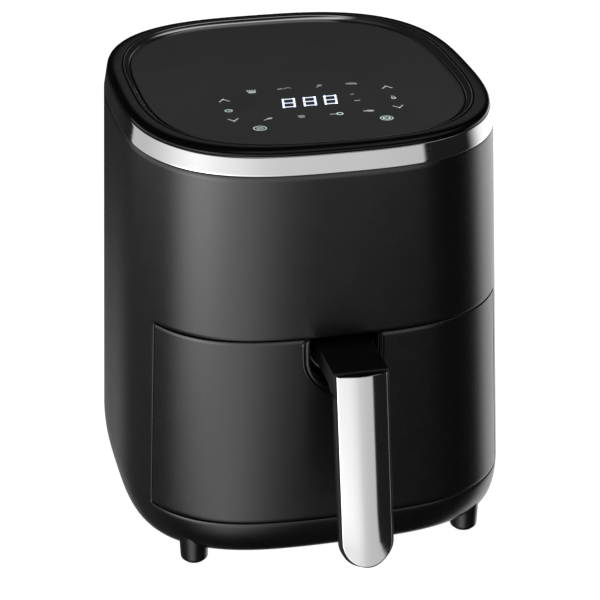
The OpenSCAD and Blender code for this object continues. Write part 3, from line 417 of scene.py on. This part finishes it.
def ring_row(z, half_w, depth, back_cut=0.0):
    """Closed outline at a height; back_cut draws its back half in towards the front."""
    turns = [2 * math.pi * i / ring_columns for i in range(ring_columns)]
    points = [plan_point(turn, half_w, depth, top_square) for turn in turns]
    return [(x, axis_y + y * (1 - back_cut / depth if y > 0 else 1), z) for x, y in points]


def lean_row(z, inset, rise):
    """Outline of the band at a share rise of its lean, drawn in by inset."""
    lean = band_lean * rise + inset
    return ring_row(z, top_half_w - lean, half_d - lean * depth_lean)


edge_r = 0.00035
band_h = band_top - housing_top
outer = []
for step in range(5):
    a = math.pi / 2 * step / 4
    outer.append((housing_top + edge_r * (1 - math.cos(a)), edge_r * (1 - math.sin(a))))
for step in range(1, 10):
    outer.append((housing_top + edge_r + (band_h - 2 * edge_r) * step / 10, 0.0))
for step in range(5):
    a = math.pi / 2 * step / 4
    outer.append((band_top - edge_r * (1 - math.sin(a)), edge_r * (1 - math.cos(a))))
profile = outer + [(band_top, band_t), (housing_top, band_t), outer[0]]
band_rows = [lean_row(z, inset, (z - housing_top) / band_h) for z, inset in profile]
band = grid_mesh("chrome_ring", band_rows, True)
apply_modifiers(band)

plating = (0.86, 0.86, 0.87)
bright_chrome, chrome_tree, chrome_shader = surface("bright_chrome", plating, 0.06, metallic=1.0)
chrome_lines = noise(chrome_tree, 30, 3, (1, 1, 60))
chrome_tree.links.new(between(chrome_tree, chrome_lines, 0.05, 0.1), chrome_shader.inputs["Roughness"])
bump(chrome_tree, chrome_shader, chrome_lines, 0.000004)
band.data.materials.append(bright_chrome)
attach(band, "root")
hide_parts("chrome_band")

# ---- Top rim ----
# A gloss black moulding that rolls over from the chrome band to the control panel's bezel.
# It is wider along the back than at the front and sides.
rim_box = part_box("top_rim")
rim_top = rim_box[1].z
rim_h = rim_top - band_top
rim_side_w = 0.0112
rim_front_w = 0.009
band_top_w = top_half_w - band_lean
band_top_d = half_d - band_lean * depth_lean
bezel_w = band_top_w - rim_side_w
bezel_d = band_top_d - rim_front_w
rim_skirt = 0.004
rim_inset = 0.0002
rim_seat = 0.003
rim_roll = 0.66
rim_steps = 24
rim_back_extra = 0.0042
rim_rows = [ring_row(band_top, band_top_w - rim_skirt, band_top_d - rim_skirt)]
rim_rows.append(ring_row(band_top, band_top_w - rim_inset, band_top_d - rim_inset))
for step in range(1, rim_steps + 1):
    a = math.pi / 2 * step / rim_steps
    across = max(0.0, math.cos(a)) ** rim_roll
    inset = rim_inset * (1 - step / rim_steps)
    w = bezel_w + rim_side_w * across - inset
    d = bezel_d + rim_front_w * across - inset
    cut = rim_back_extra * (1 - across)
    rim_rows.append(ring_row(band_top + rim_h * math.sin(a) ** rim_roll, w, d, cut))
rim_rows.append(ring_row(rim_top - rim_seat, bezel_w, bezel_d, rim_back_extra))
rim_rows.append(rim_rows[0])
rim = grid_mesh("top_rim_moulding", rim_rows, True)
apply_modifiers(rim)

gloss_black, gloss_tree, gloss_shader = surface("gloss_black", (0.005, 0.005, 0.0055), 0.14, ior=1.4)
gloss_drift = between(gloss_tree, noise(gloss_tree, 60), 0.13, 0.2)
gloss_tree.links.new(gloss_drift, gloss_shader.inputs["Roughness"])
bump(gloss_tree, gloss_shader, noise(gloss_tree, 700, 2), 0.000003)
rim.data.materials.append(gloss_black)
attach(rim, "root")
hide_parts("top_rim")

# ---- Bezel and touch panel ----
# A thin chromed ring stands round the panel and slopes down to it on the inside. The panel is
# black back-printed glass with a polished edge, sunk a little below the ring.
glass_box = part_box("touch_panel")
glass_top = glass_box[1].z
glass_bottom = glass_box[0].z
glass_w = glass_box[1].x
glass_d = (glass_box[1].y - glass_box[0].y) / 2
bezel_lip = 0.0009
bezel_foot_w = 0.0042
bezel_back_in = 0.0018
bezel_edge_r = 0.0003
bezel_overlap = 0.0002
bezel_hollow = 1.6
bezel_shoulder = rim_top - bezel_edge_r
bezel_profile = [(rim_top - rim_seat, 0.0), (bezel_shoulder, 0.0), (rim_top, bezel_edge_r)]
bezel_profile += [(rim_top, bezel_lip - bezel_edge_r), (bezel_shoulder, bezel_lip)]
for step in range(1, 9):
    share = step / 8
    drop_z = (bezel_shoulder - glass_top + bezel_overlap) * (1 - (1 - share) ** bezel_hollow)
    bezel_profile.append((bezel_shoulder - drop_z, bezel_lip + (bezel_foot_w - bezel_lip) * share))
bezel_profile += [(glass_bottom, bezel_foot_w), (rim_top - rim_seat, 0.0)]
bezel_rows = []
for z, inset in bezel_profile:
    cut = rim_back_extra - (rim_back_extra - bezel_back_in) * inset / bezel_foot_w
    bezel_rows.append(ring_row(z, bezel_w - inset, bezel_d - inset, cut))
bezel = grid_mesh("panel_ring", bezel_rows, True)
apply_modifiers(bezel)
bezel.data.materials.append(bright_chrome)
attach(bezel, "root")
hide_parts("panel_bezel")

glass_edge = 0.0007
glass_chamfer = 0.0003
glass_rows = [ring_row(glass_bottom, glass_w - glass_edge, glass_d - glass_edge)]
glass_rows.append(ring_row(glass_bottom + glass_chamfer, glass_w, glass_d))
glass_rows.append(ring_row(glass_top - glass_edge, glass_w, glass_d))
for step in range(1, 6):
    a = math.pi / 2 * step / 5
    inset = glass_edge * (1 - math.cos(a))
    z = glass_top - glass_edge * (1 - math.sin(a))
    glass_rows.append(ring_row(z, glass_w - inset, glass_d - inset))
flat_w = glass_w - glass_edge
flat_d = glass_d - glass_edge
for share in (0.97, 0.85, 0.6, 0.3, 0.08):
    glass_rows.append(ring_row(glass_top, flat_w * share, flat_d * share))
glass_rows.append([(0, axis_y, glass_top)] * ring_columns)
under = [[(0, axis_y, glass_bottom)] * ring_columns]
glass = grid_mesh("panel_glass", under + glass_rows, True)
apply_modifiers(glass)

black_glass, glass_tree, glass_shader = surface("black_glass", (0.008, 0.0085, 0.0095), 0.1)
glass_drift = between(glass_tree, noise(glass_tree, 25), 0.08, 0.14)
glass_tree.links.new(glass_drift, glass_shader.inputs["Roughness"])
tint(glass_tree, glass_shader, noise(glass_tree, 12), (0.0075, 0.008, 0.009), (0.0095, 0.01, 0.011))
glass.data.materials.append(black_glass)
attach(glass, "root")
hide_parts("touch_panel")

# ---- Panel print and lit digits ----
# Thin pale print on the glass: keys, the programme signs and three seven-bar digits that glow
# blue-white. Every sign is generic: arrows, a clock, a thermometer, foods and a menu list.
print_z = glass_top + 0.00004
print_t = 0.00003
print_x = -0.0008
print_y = axis_y - 0.0032


def flat_piece(name, outlines, material):
    """Thin raised print made of closed outlines, given in metres from the print's middle."""
    mesh = bpy.data.meshes.new(name)
    shape = bmesh.new()
    for outline in outlines:
        low = [shape.verts.new((x + print_x, y + print_y, print_z)) for x, y in outline]
        high = [shape.verts.new((v.co.x, v.co.y, print_z + print_t)) for v in low]
        shape.faces.new(high)
        shape.faces.new(low[::-1])
        for i in range(len(low)):
            k = (i + 1) % len(low)
            shape.faces.new((low[i], low[k], high[k], high[i]))
    bmesh.ops.recalc_face_normals(shape, faces=shape.faces)
    bmesh.ops.triangulate(shape, faces=[f for f in shape.faces if len(f.verts) > 4])
    shape.to_mesh(mesh)
    shape.free()
    piece = bpy.data.objects.new(name, mesh)
    bpy.context.scene.collection.objects.link(piece)
    piece.data.materials.append(material)
    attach(piece, "root")
    return piece


def stroke(points, width, closed=False):
    """Outlines of short bars that follow a line."""
    pairs = list(zip(points, points[1:] + points[:1])) if closed else list(zip(points, points[1:]))
    bars = []
    for a, b in pairs:
        along = Vector(b) - Vector(a)
        along.normalize()
        side = Vector((-along.y, along.x)) * width / 2
        tip = along * width / 2
        a = Vector(a) - tip
        b = Vector(b) + tip
        bars.append([tuple(a - side), tuple(b - side), tuple(b + side), tuple(a + side)])
    return bars


def arc(centre, radius, start, end, steps=20):
    """Points along part of a circle, from start to end degrees."""
    turn = [math.radians(start + (end - start) * i / steps) for i in range(steps + 1)]
    return [(centre[0] + radius * math.cos(t), centre[1] + radius * math.sin(t)) for t in turn]


def lit(name, colour, strength):
    """Print that glows a little unevenly, as a backlight does."""
    material, tree, shader = surface(name, colour, 0.4)
    shader.inputs["Emission Color"].default_value = (*colour, 1)
    glow = between(tree, noise(tree, 220), strength * 0.85, strength * 1.1)
    tree.links.new(glow, shader.inputs["Emission Strength"])
    return material


digit_light = lit("digit_light", (0.75, 0.84, 1.0), 1.2)
key_light = lit("key_light", (0.6, 0.66, 0.64), 0.5)
print_light = lit("print_light", (0.5, 0.53, 0.52), 0.3)

digit_w = 0.0088
digit_h = 0.016
digit_bar = 0.0014
digit_slant = 0.17
digit_y = -0.0453
digit_middles = (-0.0137, 0.0003, 0.0142)
bar_gap = 0.0011
bar_half_w = digit_w / 2 - digit_bar * 0.75
bar_end = digit_h / 2 - digit_bar * 0.35
bars = []
for x0 in digit_middles:
    for row in (-1, 0, 1):
        y = row * (digit_h - digit_bar) / 2
        bars.append(((x0 - bar_half_w, y), (x0 + bar_half_w, y)))
    for side in (-1, 1):
        x = x0 + side * (digit_w - digit_bar) / 2
        for row in (-1, 1):
            bars.append(((x, row * bar_gap), (x, row * bar_end)))
digit_bars = []
for a, b in bars:
    for bar in stroke([a, b], digit_bar):
        digit_bars.append([(x + y * digit_slant, y + digit_y) for x, y in bar])
flat_piece("digits", digit_bars, digit_light)

line_w = 0.0006
sign_w = 0.0009
arrow_w = 0.001
arrow_half_w = 0.0031
arrow_h = 0.0042
up_arrows = ((-0.054, -0.0306, 1), (0.056, -0.0301, 1))
down_arrows = ((-0.0549, -0.0683, -1), (0.054, -0.0686, -1))
keys = []
for x, y, way in up_arrows + down_arrows:
    tip = way * arrow_h / 2
    keys += stroke([(x - arrow_half_w, y - tip), (x, y + tip), (x + arrow_half_w, y - tip)], arrow_w)
clock = (-0.0546, -0.0506)
clock_r = 0.0023
minute_hand = 0.0014
hour_hand = 0.0011
keys += stroke(arc(clock, clock_r, 0, 360), line_w, True)
keys += stroke([(clock[0], clock[1] + minute_hand), clock, (clock[0] + hour_hand, clock[1])], line_w)
bulb = (0.0552, -0.0516)
bulb_r = 0.0013
stem_h = 0.0042
keys += stroke(arc(bulb, bulb_r, -240, 60, 12), line_w)
for side in (-1, 1):
    x = bulb[0] + side * bulb_r / 2
    keys += stroke([(x, bulb[1] + bulb_r), (x, bulb[1] + stem_h)], line_w)
ring_r = 0.004
menu = (-0.0417, -0.0869)
menu_half_w = 0.0019
menu_pitch = 0.0017
power = (0.041, -0.0873)
power_r = 0.0021
power_low = 0.0004
power_high = 0.0028
for centre in (menu, power):
    keys += stroke(arc(centre, ring_r, 0, 360, 32), line_w, True)
for row in (-1, 0, 1):
    y = menu[1] + row * menu_pitch
    keys += stroke([(menu[0] - menu_half_w, y), (menu[0] + menu_half_w, y)], sign_w)
keys += stroke(arc(power, power_r, 125, 415), sign_w)
keys += stroke([(power[0], power[1] + power_low), (power[0], power[1] + power_high)], sign_w)
flat_piece("key_print", keys, key_light)


def oval(centre, radii, turn=0.0, steps=18):
    """Oval turned by some degrees, in millimetres."""
    turn = math.radians(turn)
    out = []
    for i in range(steps):
        a = 2 * math.pi * i / steps
        x = radii[0] * math.cos(a)
        y = radii[1] * math.sin(a)
        out.append((centre[0] + x * math.cos(turn) - y * math.sin(turn),
                    centre[1] + x * math.sin(turn) + y * math.cos(turn)))
    return out


def chips():
    sticks = [stroke([(-2.4 + k * 1.5, 1.2), (-2.7 + k * 1.7, 3)], 1)[0] for k in range(4)]
    return [[(-2.4, -2.8), (2, -2.8), (2.7, 0.8), (-3.1, 0.8)]] + sticks


def prawn():
    return [oval((-2.8, 0), (2.3, 1.2), 12)] + stroke(arc((2.2, -0.8), 2, 20, 170, 8), 0.8)


def drumstick():
    return [oval((0.7, 1), (2.3, 1.6), 50)] + stroke([(-0.7, -0.8), (-2, -2.6)], 0.8)


def steak():
    return [oval((0, 0), (3.9, 1.8), -8), oval((2.7, -1.1), (1.5, 1), -40)]


def whisk():
    return [oval((1.2, 0.8), (2, 1.2), 25)] + stroke([(-0.5, -0.1), (-2.8, -1.6)], 0.9)


def cake():
    return [[(-1.7, -2.5), (1.7, -2.5), (2.2, -0.3), (-2.2, -0.3)], oval((0, 0.8), (2.5, 1.5))]


def skillet():
    return stroke(arc((1.9, 0), 1.9, 0, 360), 0.8, True) + stroke([(-0.2, 0), (-4, 0.3)], 1.1)


def fish():
    return [oval((0.3, 0), (2.9, 1.6), -10), [(-1.9, 0.1), (-4, 1.6), (-3.6, -1.1)]]


def bean():
    return [oval((0, 0), (1.5, 0.9), 30)]


def dash():
    return stroke([(-1.4, 0), (1.4, 0)], 1)


# Where each sign's middle lies on the panel, in metres from the print's middle.
bright_signs = [(chips, -0.0325, -0.0183), (whisk, -0.0331, -0.0715), (skillet, 0.0119, -0.0725),
                (fish, 0.0336, -0.0717), (dash, 0.0308, -0.0509)]
dim_signs = [(prawn, -0.0105, -0.0173), (drumstick, 0.0128, -0.0176), (steak, 0.0349, -0.0177),
             (cake, -0.0113, -0.0718), (bean, 0.0304, -0.0385)]
sign_groups = [("bright_print", bright_signs, key_light), ("dim_print", dim_signs, print_light)]
for name, signs, material in sign_groups:
    outlines = []
    for draw, x, y in signs:
        outlines += [[(x + px / 1000, y + py / 1000) for px, py in line] for line in draw()]
    flat_piece(name, outlines, material)

# ---- Drawer front ----
# The front is cut from the same skin as the housing and closes its opening with an even gap.
# It is a hollow moulding with a notch for the handle's recess.
seam = 0.0008
front_low = drawer_bottom + seam
front_high = drawer_top - seam
front_levels = spread(front_low, front_high, 48) + [front_high]


def front_row(z):
    half_w, depth, square = body_plan(z)
    split = angle_at_y(drawer_split_y + seam, half_w, depth, square)
    angles = spread(math.pi - split, 2 * math.pi + split, front_columns) + [2 * math.pi + split]
    points = [plan_point(a, half_w, depth, square) for a in angles]
    return [(x, y + axis_y, z) for x, y in points]


front_edge_r = 0.0006
front = grid_mesh("drawer_skin", [front_row(z) for z in front_levels], False)
thicken(front, wall_t)
round_edges(front, front_edge_r)

recess_r = 0.0218
recess_h = 0.037
recess_depth = 0.02
trim_w = 0.0056
recess_z = drawer_top - recess_h + recess_r
recess_back_y = half_d - recess_depth
trim_proud = 0.0008


def recess_path(steps=36):
    """U-shaped line from the top left round to the top right.

    Each point is (centre x, centre z, outward x, outward z).
    """
    line = [(0, front_high - (front_high - recess_z) * i / 16, -1, 0) for i in range(16)]
    for i in range(steps + 1):
        a = math.pi + math.pi * i / steps
        line.append((0, recess_z, math.cos(a), math.sin(a)))
    line += [(0, recess_z + (front_high - recess_z) * i / 16, 1, 0) for i in range(1, 17)]
    return line


def depth_at(x, z):
    """How far in front of the axis the body's skin lies at x and z."""
    half_w, depth, square = body_plan(z)
    return depth * (1 - (abs(x) / half_w) ** square) ** (1 / square)


notch_r = recess_r + trim_w * 0.6
notch_top = front_high + 0.01
notch_front = half_d + 0.01
notch_back = half_d - 0.03
notch_line = [(cx + ox * notch_r, cz + oz * notch_r) for cx, cz, ox, oz in recess_path()]
notch_line = [(notch_line[0][0], notch_top)] + notch_line + [(notch_line[-1][0], notch_top)]
notch_rows = [[(x, axis_y - y, z) for x, z in notch_line] for y in (notch_front, notch_back)]
notch = grid_mesh("notch", notch_rows, False)
shape = bmesh.new()
shape.from_mesh(notch.data)
bmesh.ops.holes_fill(shape, edges=shape.edges)
bmesh.ops.recalc_face_normals(shape, faces=shape.faces)
shape.to_mesh(notch.data)
shape.free()
cut_away(front, notch)
front.data.materials.append(satin_black)
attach(front, "drawer")
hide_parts("drawer_front")

# ---- Recess trim ----
# A gloss black cup set into the notch: a raised lip that rolls into the finger recess, and a
# flat back wall that the handle is screwed to. The lip's upper corners are rounded.
# The lip's section as (distance out from the recess, height above the skin), from outside in.
lip = [(trim_w, -0.0016), (trim_w, -0.0001), (trim_w - 0.0002, 0.00025), (trim_w - 0.0006, 0.00055)]
lip += [(trim_w - 0.0012, 0.0007), (trim_w - 0.0019, 0.0006), (trim_w - 0.0024, 0.00035)]
lip += [(trim_w - 0.0028, 0.00028), (trim_w - 0.0031, 0.0004), (trim_w - 0.0036, 0.0007)]
lip += [(0.0013, trim_proud), (0.0007, trim_proud - 0.0001), (0.0002, trim_proud - 0.0004)]
lip += [(0.0, -0.0002)]
inner_depths = [0.003, 0.008, 0.014, 0.0182, 0.0194]
inner_draft = 0.0004
floor_draft = 0.001
floor_round = 0.019
back_wall_r = recess_r - 0.0018
cup_t = 0.0012
corner_r = 0.0042


def corner_share(z):
    """How much of the lip's width is left near its rounded upper end."""
    rise = z - (front_high - corner_r)
    if rise <= 0:
        return 1.0
    return 1 - (1 - math.sqrt(max(0.0, 1 - (rise / corner_r) ** 2))) * corner_r / trim_w


trim_rows = []
for offset, proud in lip:
    row = []
    for cx, cz, ox, oz in recess_path():
        reach = recess_r + offset * corner_share(cz)
        x = cx + ox * reach
        z = cz + oz * reach
        row.append((x, axis_y - depth_at(x, z) - proud, z))
    trim_rows.append(row)
for depth in inner_depths:
    reach = recess_r - (inner_draft if depth < floor_round else floor_draft)
    row = []
    for cx, cz, ox, oz in recess_path():
        row.append((cx + ox * reach, axis_y - half_d + depth, cz + oz * reach))
    trim_rows.append(row)
for share in (0.9, 0.5, 0.0):
    reach = back_wall_r * share
    row = []
    for cx, cz, ox, oz in recess_path():
        row.append((cx + ox * reach, axis_y - recess_back_y, cz + oz * reach))
    trim_rows.append(row)
trim = grid_mesh("recess_cup", trim_rows, False)
thicken(trim, cup_t)
apply_modifiers(trim)

trim_black, trim_tree, trim_shader = surface("trim_black", (0.006, 0.006, 0.0065), 0.16, ior=1.75)
bump(trim_tree, trim_shader, noise(trim_tree, 700, 2), 0.000002)
trim.data.materials.append(trim_black)
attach(trim, "drawer")
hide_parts("recess_trim")

# ---- Handle ----
# A satin black grip hangs from a flat bridge that reaches out of the recess. Its front carries
# a crowned chrome cover that starts at the bend and runs round the grip's lower end.
grip_half_w = 0.0178
grip_l = 0.1305
grip_lean = math.radians(9.2)
grip_t = 0.0113
cover_seat = 0.003
cover_t = 0.0013
cover_crown = 0.0042
cover_inset = 0.0016
crown_turn = 0.4
bridge_drop = 0.0035
bridge_top = drawer_top - bridge_drop
bridge_t = 0.013
handle_reach = 0.0486
bend_y = half_d + handle_reach
cover_start = 0.0008
end_steps = 28
side_shares = (0.0, 0.006, 0.015, 0.04, 0.1, 0.2, 0.3, 0.4, 0.5, 0.6, 0.7, 0.8, 0.9)
grip_low = -grip_l + grip_half_w


def grip_outline(inset, top):
    """The grip's outline as (x, z) in its own lean, drawn in by inset, from the top left round."""
    r = grip_half_w - inset
    left = [(-r, top + (grip_low - top) * share) for share in side_shares]
    turns = [math.pi * i / end_steps for i in range(end_steps + 1)]
    end = [(-r * math.cos(turn), grip_low - r * math.sin(turn)) for turn in turns]
    return left + end + [(-x, z) for x, z in left[::-1]]


def grip_point(x, z, depth):
    """A place on the leaning grip, at a depth behind its bend line."""
    y = depth * math.cos(grip_lean) + z * math.sin(grip_lean)
    height = -depth * math.sin(grip_lean) + z * math.cos(grip_lean)
    return x, axis_y - bend_y + y, bridge_top + height


def grip_ring(depth, inset, top):
    return [grip_point(x, z, depth) for x, z in grip_outline(inset, top)]


def crown_fall(u):
    """How far the crown has fallen at a share u of the half width."""
    return math.sqrt(u * u + crown_turn * crown_turn) - crown_turn


def cover_rise(x, z):
    """Height of the cover's face above its seat: crowned across, less so round the lower end."""
    u = min(1.0, abs(x) / cover_half)
    run = min(1.0, max(0.0, (z + grip_l) / crown_run))
    flat = crown_end + (1 - crown_end) * run * run * (3 - 2 * run)
    return cover_t + cover_crown * (1 - flat * crown_fall(u) / crown_fall(1))


cover_half = grip_half_w - cover_inset
cover_edge_r = 0.0005
hem_r = 0.0003
cover_columns = 24
crown_run = 0.03
crown_end = 0.75
# Each layer of the cover lies some way below its face and some way in from its edge.
cover_layers = [(cover_t, 0.0)]
for step in range(6):
    a = math.pi / 2 * step / 5
    cover_layers.append((cover_edge_r * (1 - math.sin(a)), cover_edge_r * (1 - math.cos(a))))
for k in range(1, cover_columns + 1):
    cover_layers.append((0.0, cover_edge_r + (cover_half - cover_edge_r) * k / cover_columns))
cover_rows = []
for sink, inset in cover_layers:
    line = grip_outline(cover_inset + inset, -cover_start - min(inset, cover_edge_r))
    rise = [cover_rise(x, z) - sink for x, z in line]
    if sink == cover_t:
        rise = [0.0 for x, z in line]
    cover_rows.append([grip_point(x, z, cover_seat - h) for (x, z), h in zip(line, rise)])
cover = grid_mesh("handle_chrome", cover_rows, False)
shape = bmesh.new()
shape.from_mesh(cover.data)
bmesh.ops.holes_fill(shape, edges=shape.edges, sides=0)
bmesh.ops.recalc_face_normals(shape, faces=shape.faces)
shape.to_mesh(cover.data)
shape.free()
round_edges(cover, hem_r, 2, 50)
cover.data.materials.append(bright_chrome)
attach(cover, "drawer")
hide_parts("handle_cover")

# The grip's section as (depth behind the bend line, inset from its outline), from the back.
grip_back = cover_seat + grip_t
grip_profile = [(grip_back, grip_half_w), (grip_back, 0.008), (grip_back - 0.0004, 0.005)]
grip_profile += [(grip_back - 0.0018, 0.0022), (grip_back - 0.0042, 0.0006), (grip_back - 0.0062, 0.0)]
grip_profile += [(cover_seat + 0.0004, 0.0), (cover_seat + 0.00012, 0.00012), (cover_seat, 0.0004)]
grip_profile += [(cover_seat, grip_half_w)]
grip_rows = [grip_ring(depth, inset, -bridge_t) for depth, inset in grip_profile]
grip = grid_mesh("grip_shell", grip_rows, False)
shape = bmesh.new()
shape.from_mesh(grip.data)
bmesh.ops.holes_fill(shape, edges=shape.edges, sides=0)
bmesh.ops.recalc_face_normals(shape, faces=shape.faces)
shape.to_mesh(grip.data)
shape.free()
apply_modifiers(grip)

bend_r = 0.0012
bridge_edge_r = 0.0006
bridge_low = bridge_top - bridge_t
face_y = axis_y - bend_y
seat_y = face_y + cover_seat * 0.95  # a hair in front of the grip's seat, so that they join
bridge_back_y = face_y + grip_back / math.cos(grip_lean)
crook_near = 0.002
crook_far = 0.006
crook_dip = 0.0006
side_view = [(axis_y - recess_back_y, bridge_low), (axis_y - recess_back_y, bridge_top)]
for step in range(9):
    a = math.pi / 2 * step / 8
    y = seat_y + bend_r - bend_r * math.sin(a)
    side_view.append((y, bridge_top - bend_r + bend_r * math.cos(a)))
foot_z = bridge_top - bridge_t * 1.25
face_drop = (bridge_top - foot_z) * math.tan(grip_lean)
side_view.append((seat_y - face_drop, foot_z))
side_view.append((bridge_back_y - face_drop, foot_z))
side_view.append((bridge_back_y + crook_near, bridge_low - crook_dip))
side_view.append((bridge_back_y + crook_far, bridge_low))
mesh = bpy.data.meshes.new("handle_bridge")
shape = bmesh.new()
left = [shape.verts.new((-grip_half_w, y, z)) for y, z in side_view]
right = [shape.verts.new((grip_half_w, y, z)) for y, z in side_view]
shape.faces.new(left)
shape.faces.new(right[::-1])
for i in range(len(left)):
    k = (i + 1) % len(left)
    shape.faces.new((left[i], right[i], right[k], left[k]))
bmesh.ops.recalc_face_normals(shape, faces=shape.faces)
shape.to_mesh(mesh)
shape.free()
bridge = bpy.data.objects.new("handle_bridge", mesh)
bpy.context.scene.collection.objects.link(bridge)
round_edges(bridge, bridge_edge_r, 3, 50)
grip_dark = (0.004, 0.004, 0.0045)
grip_light = (0.006, 0.006, 0.0065)
grip_black = moulded_plastic("grip_black", grip_dark, grip_light, 0.3, 0.000004)
for part in (grip, bridge):
    part.data.materials.append(grip_black)
    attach(part, "drawer")
    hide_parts("handle_body")

# ---- Pan and crisper plate ----
# The pan is pressed from steel and coated dark grey inside and out; the crisper plate inside it
# is a perforated tray on four legs with silicone bumpers.
non_stick, stick_tree, stick_shader = surface("non_stick", (0.022, 0.022, 0.023), 0.36)
speckle = noise(stick_tree, 900, 2)
tint(stick_tree, stick_shader, speckle, (0.016, 0.016, 0.017), (0.034, 0.034, 0.035))
stick_tree.links.new(between(stick_tree, speckle, 0.3, 0.42), stick_shader.inputs["Roughness"])
bump(stick_tree, stick_shader, speckle, 0.00001)
dress(["pan", "crisper_plate"], non_stick)

# ---- Air outlet and cord entry at the back ----
# The outlet is a slatted insert of plain black plastic clipped into the housing. The cord
# enters low down through a moulded bush.
dress(["rear_vent", "cord_gland"], plain_dark)

# ---- Floor, light and camera ----
# A pale studio floor, a dark soft room with wide bright panels all round it, and the long lens
# of a product shot, from slightly left of the front and above.
floor_r = 9
floor_mesh = bpy.data.meshes.new("floor")
floor_corners = [(-floor_r, -floor_r, 0), (floor_r, -floor_r, 0)]
floor_corners += [(floor_r, floor_r, 0), (-floor_r, floor_r, 0)]
floor_mesh.from_pydata(floor_corners, [], [(0, 1, 2, 3)])
floor = bpy.data.objects.new("floor", floor_mesh)
bpy.context.scene.collection.objects.link(floor)
pale, _, pale_shader = surface("pale_floor", (0.9, 0.9, 0.9), 0.9)
pale_shader.inputs["Emission Color"].default_value = (1, 1, 1, 1)
pale_shader.inputs["Emission Strength"].default_value = 1.0
floor.data.materials.append(pale)
floor.visible_glossy = False
floor.visible_diffuse = False
floor.visible_shadow = False

world = bpy.data.worlds.new("studio")
bpy.context.scene.world = world
world.use_nodes = True
room = world.node_tree


def room_math(operation, first, second=0.0, third=0.0):
    node = room.nodes.new("ShaderNodeMath")
    node.operation = operation
    for socket, value in zip(node.inputs, (first, second, third)):
        if isinstance(value, (int, float)):
            socket.default_value = value
        else:
            room.links.new(value, socket)
    return node.outputs[0]


direction = room.nodes.new("ShaderNodeTexCoord")
parts = room.nodes.new("ShaderNodeSeparateXYZ")
room.links.new(direction.outputs["Generated"], parts.inputs[0])
to_front = room_math("MULTIPLY", parts.outputs["Y"], -1.0)
round_room = room_math("DEGREES", room_math("ARCTAN2", parts.outputs["X"], to_front))
height = room_math("DEGREES", room_math("ARCSINE", parts.outputs["Z"]))


def fade(distance, reach, soft):
    """1 inside reach, 0 outside it, with a smooth edge soft degrees to each side."""
    edge = room.nodes.new("ShaderNodeMapRange")
    edge.interpolation_type = "SMOOTHSTEP"
    edge.inputs["From Min"].default_value = reach - soft
    edge.inputs["From Max"].default_value = reach + soft
    edge.inputs["To Min"].default_value = 1.0
    edge.inputs["To Max"].default_value = 0.0
    room.links.new(distance, edge.inputs["Value"])
    return edge.outputs["Result"]


def offset(centre):
    """How far round the room a direction lies from centre, to either side."""
    return room_math("WRAP", room_math("SUBTRACT", round_room, centre), 180.0, -180.0)


def panel(light, left, right, low, high, soft, brightness):
    """Adds a softbox between two bearings and two heights, in degrees from the front and level."""
    across = room_math("ABSOLUTE", offset((left + right) / 2))
    up = room_math("ABSOLUTE", room_math("SUBTRACT", height, (low + high) / 2))
    sides = fade(across, (right - left) / 2, soft[0])
    ends = fade(up, (high - low) / 2, soft[1])
    return room_math("MULTIPLY_ADD", room_math("MULTIPLY", sides, ends), brightness, light)


def glow(light, bearing, level, wide, tall, brightness):
    """Adds a round pool of light that falls off evenly to its rim."""
    across = room_math("DIVIDE", offset(bearing), wide)
    up = room_math("DIVIDE", room_math("SUBTRACT", height, level), tall)
    squares = room_math("ADD", room_math("MULTIPLY", across, across), room_math("MULTIPLY", up, up))
    far = room_math("SQRT", squares)
    return room_math("MULTIPLY_ADD", fade(far, 0.5, 0.5), brightness, light)


dark_room = 0.012
low_back_left = panel(dark_room, -180, -110, -80, -18, (16, 6), 0.05)
low_back_right = panel(low_back_left, 150, 196, -60, -24, (10, 4), 0.3)
ceiling = panel(low_back_right, -150, 150, 50, 95, (12, 10), 0.03)
high_front = panel(ceiling, -45, 105, 38, 80, (15, 8), 0.5)
behind_glass = panel(high_front, 150, 178, 17, 33, (4, 4), 0.16)
level_strip = panel(behind_glass, -145, 41.5, -17, 3, (1.5, 1.5), 0.56)
strip_left = panel(level_strip, -100, -34, -17, 3, (33, 1.5), 0.5)
strip_front = panel(strip_left, -35, 15, -17, 3, (25, 1.5), 0.1)
level_right = panel(strip_front, 98, 150, -19, -3, (13, 3), 0.95)
low_right = panel(level_right, 106, 165, -55, -15, (14, 6), 1.0)
left_window = glow(low_right, -64, -15, 42, 12, 2.5)
all_lights = glow(left_window, -30, -30, 47, 30, 1.0)
room.links.new(all_lights, room.nodes["Background"].inputs["Color"])
room.nodes["Background"].inputs["Strength"].default_value = 1.0

view_azimuth = math.radians(-12.858)
view_elevation = math.radians(24.728)
view_roll = math.radians(-0.218)
view_distance = 1.59488
target = Vector((0.00353, axis_y, 0.13376))
lens_mm = 136.505
sensor_mm = 36
level = math.cos(view_elevation)
back = Vector((math.sin(view_azimuth) * level, -math.cos(view_azimuth) * level, 0))
back.z = math.sin(view_elevation)
lens_data = bpy.data.cameras.new("camera")
lens_data.lens = lens_mm
lens_data.sensor_width = sensor_mm
camera = bpy.data.objects.new("camera", lens_data)
camera.location = target + back * view_distance
facing = back.to_track_quat("Z", "Y").to_matrix()
camera.rotation_euler = (facing @ Matrix.Rotation(view_roll, 3, "Z")).to_euler()
bpy.context.scene.collection.objects.link(camera)
bpy.context.scene.camera = camera
bpy.context.scene.view_settings.view_transform = "Standard"
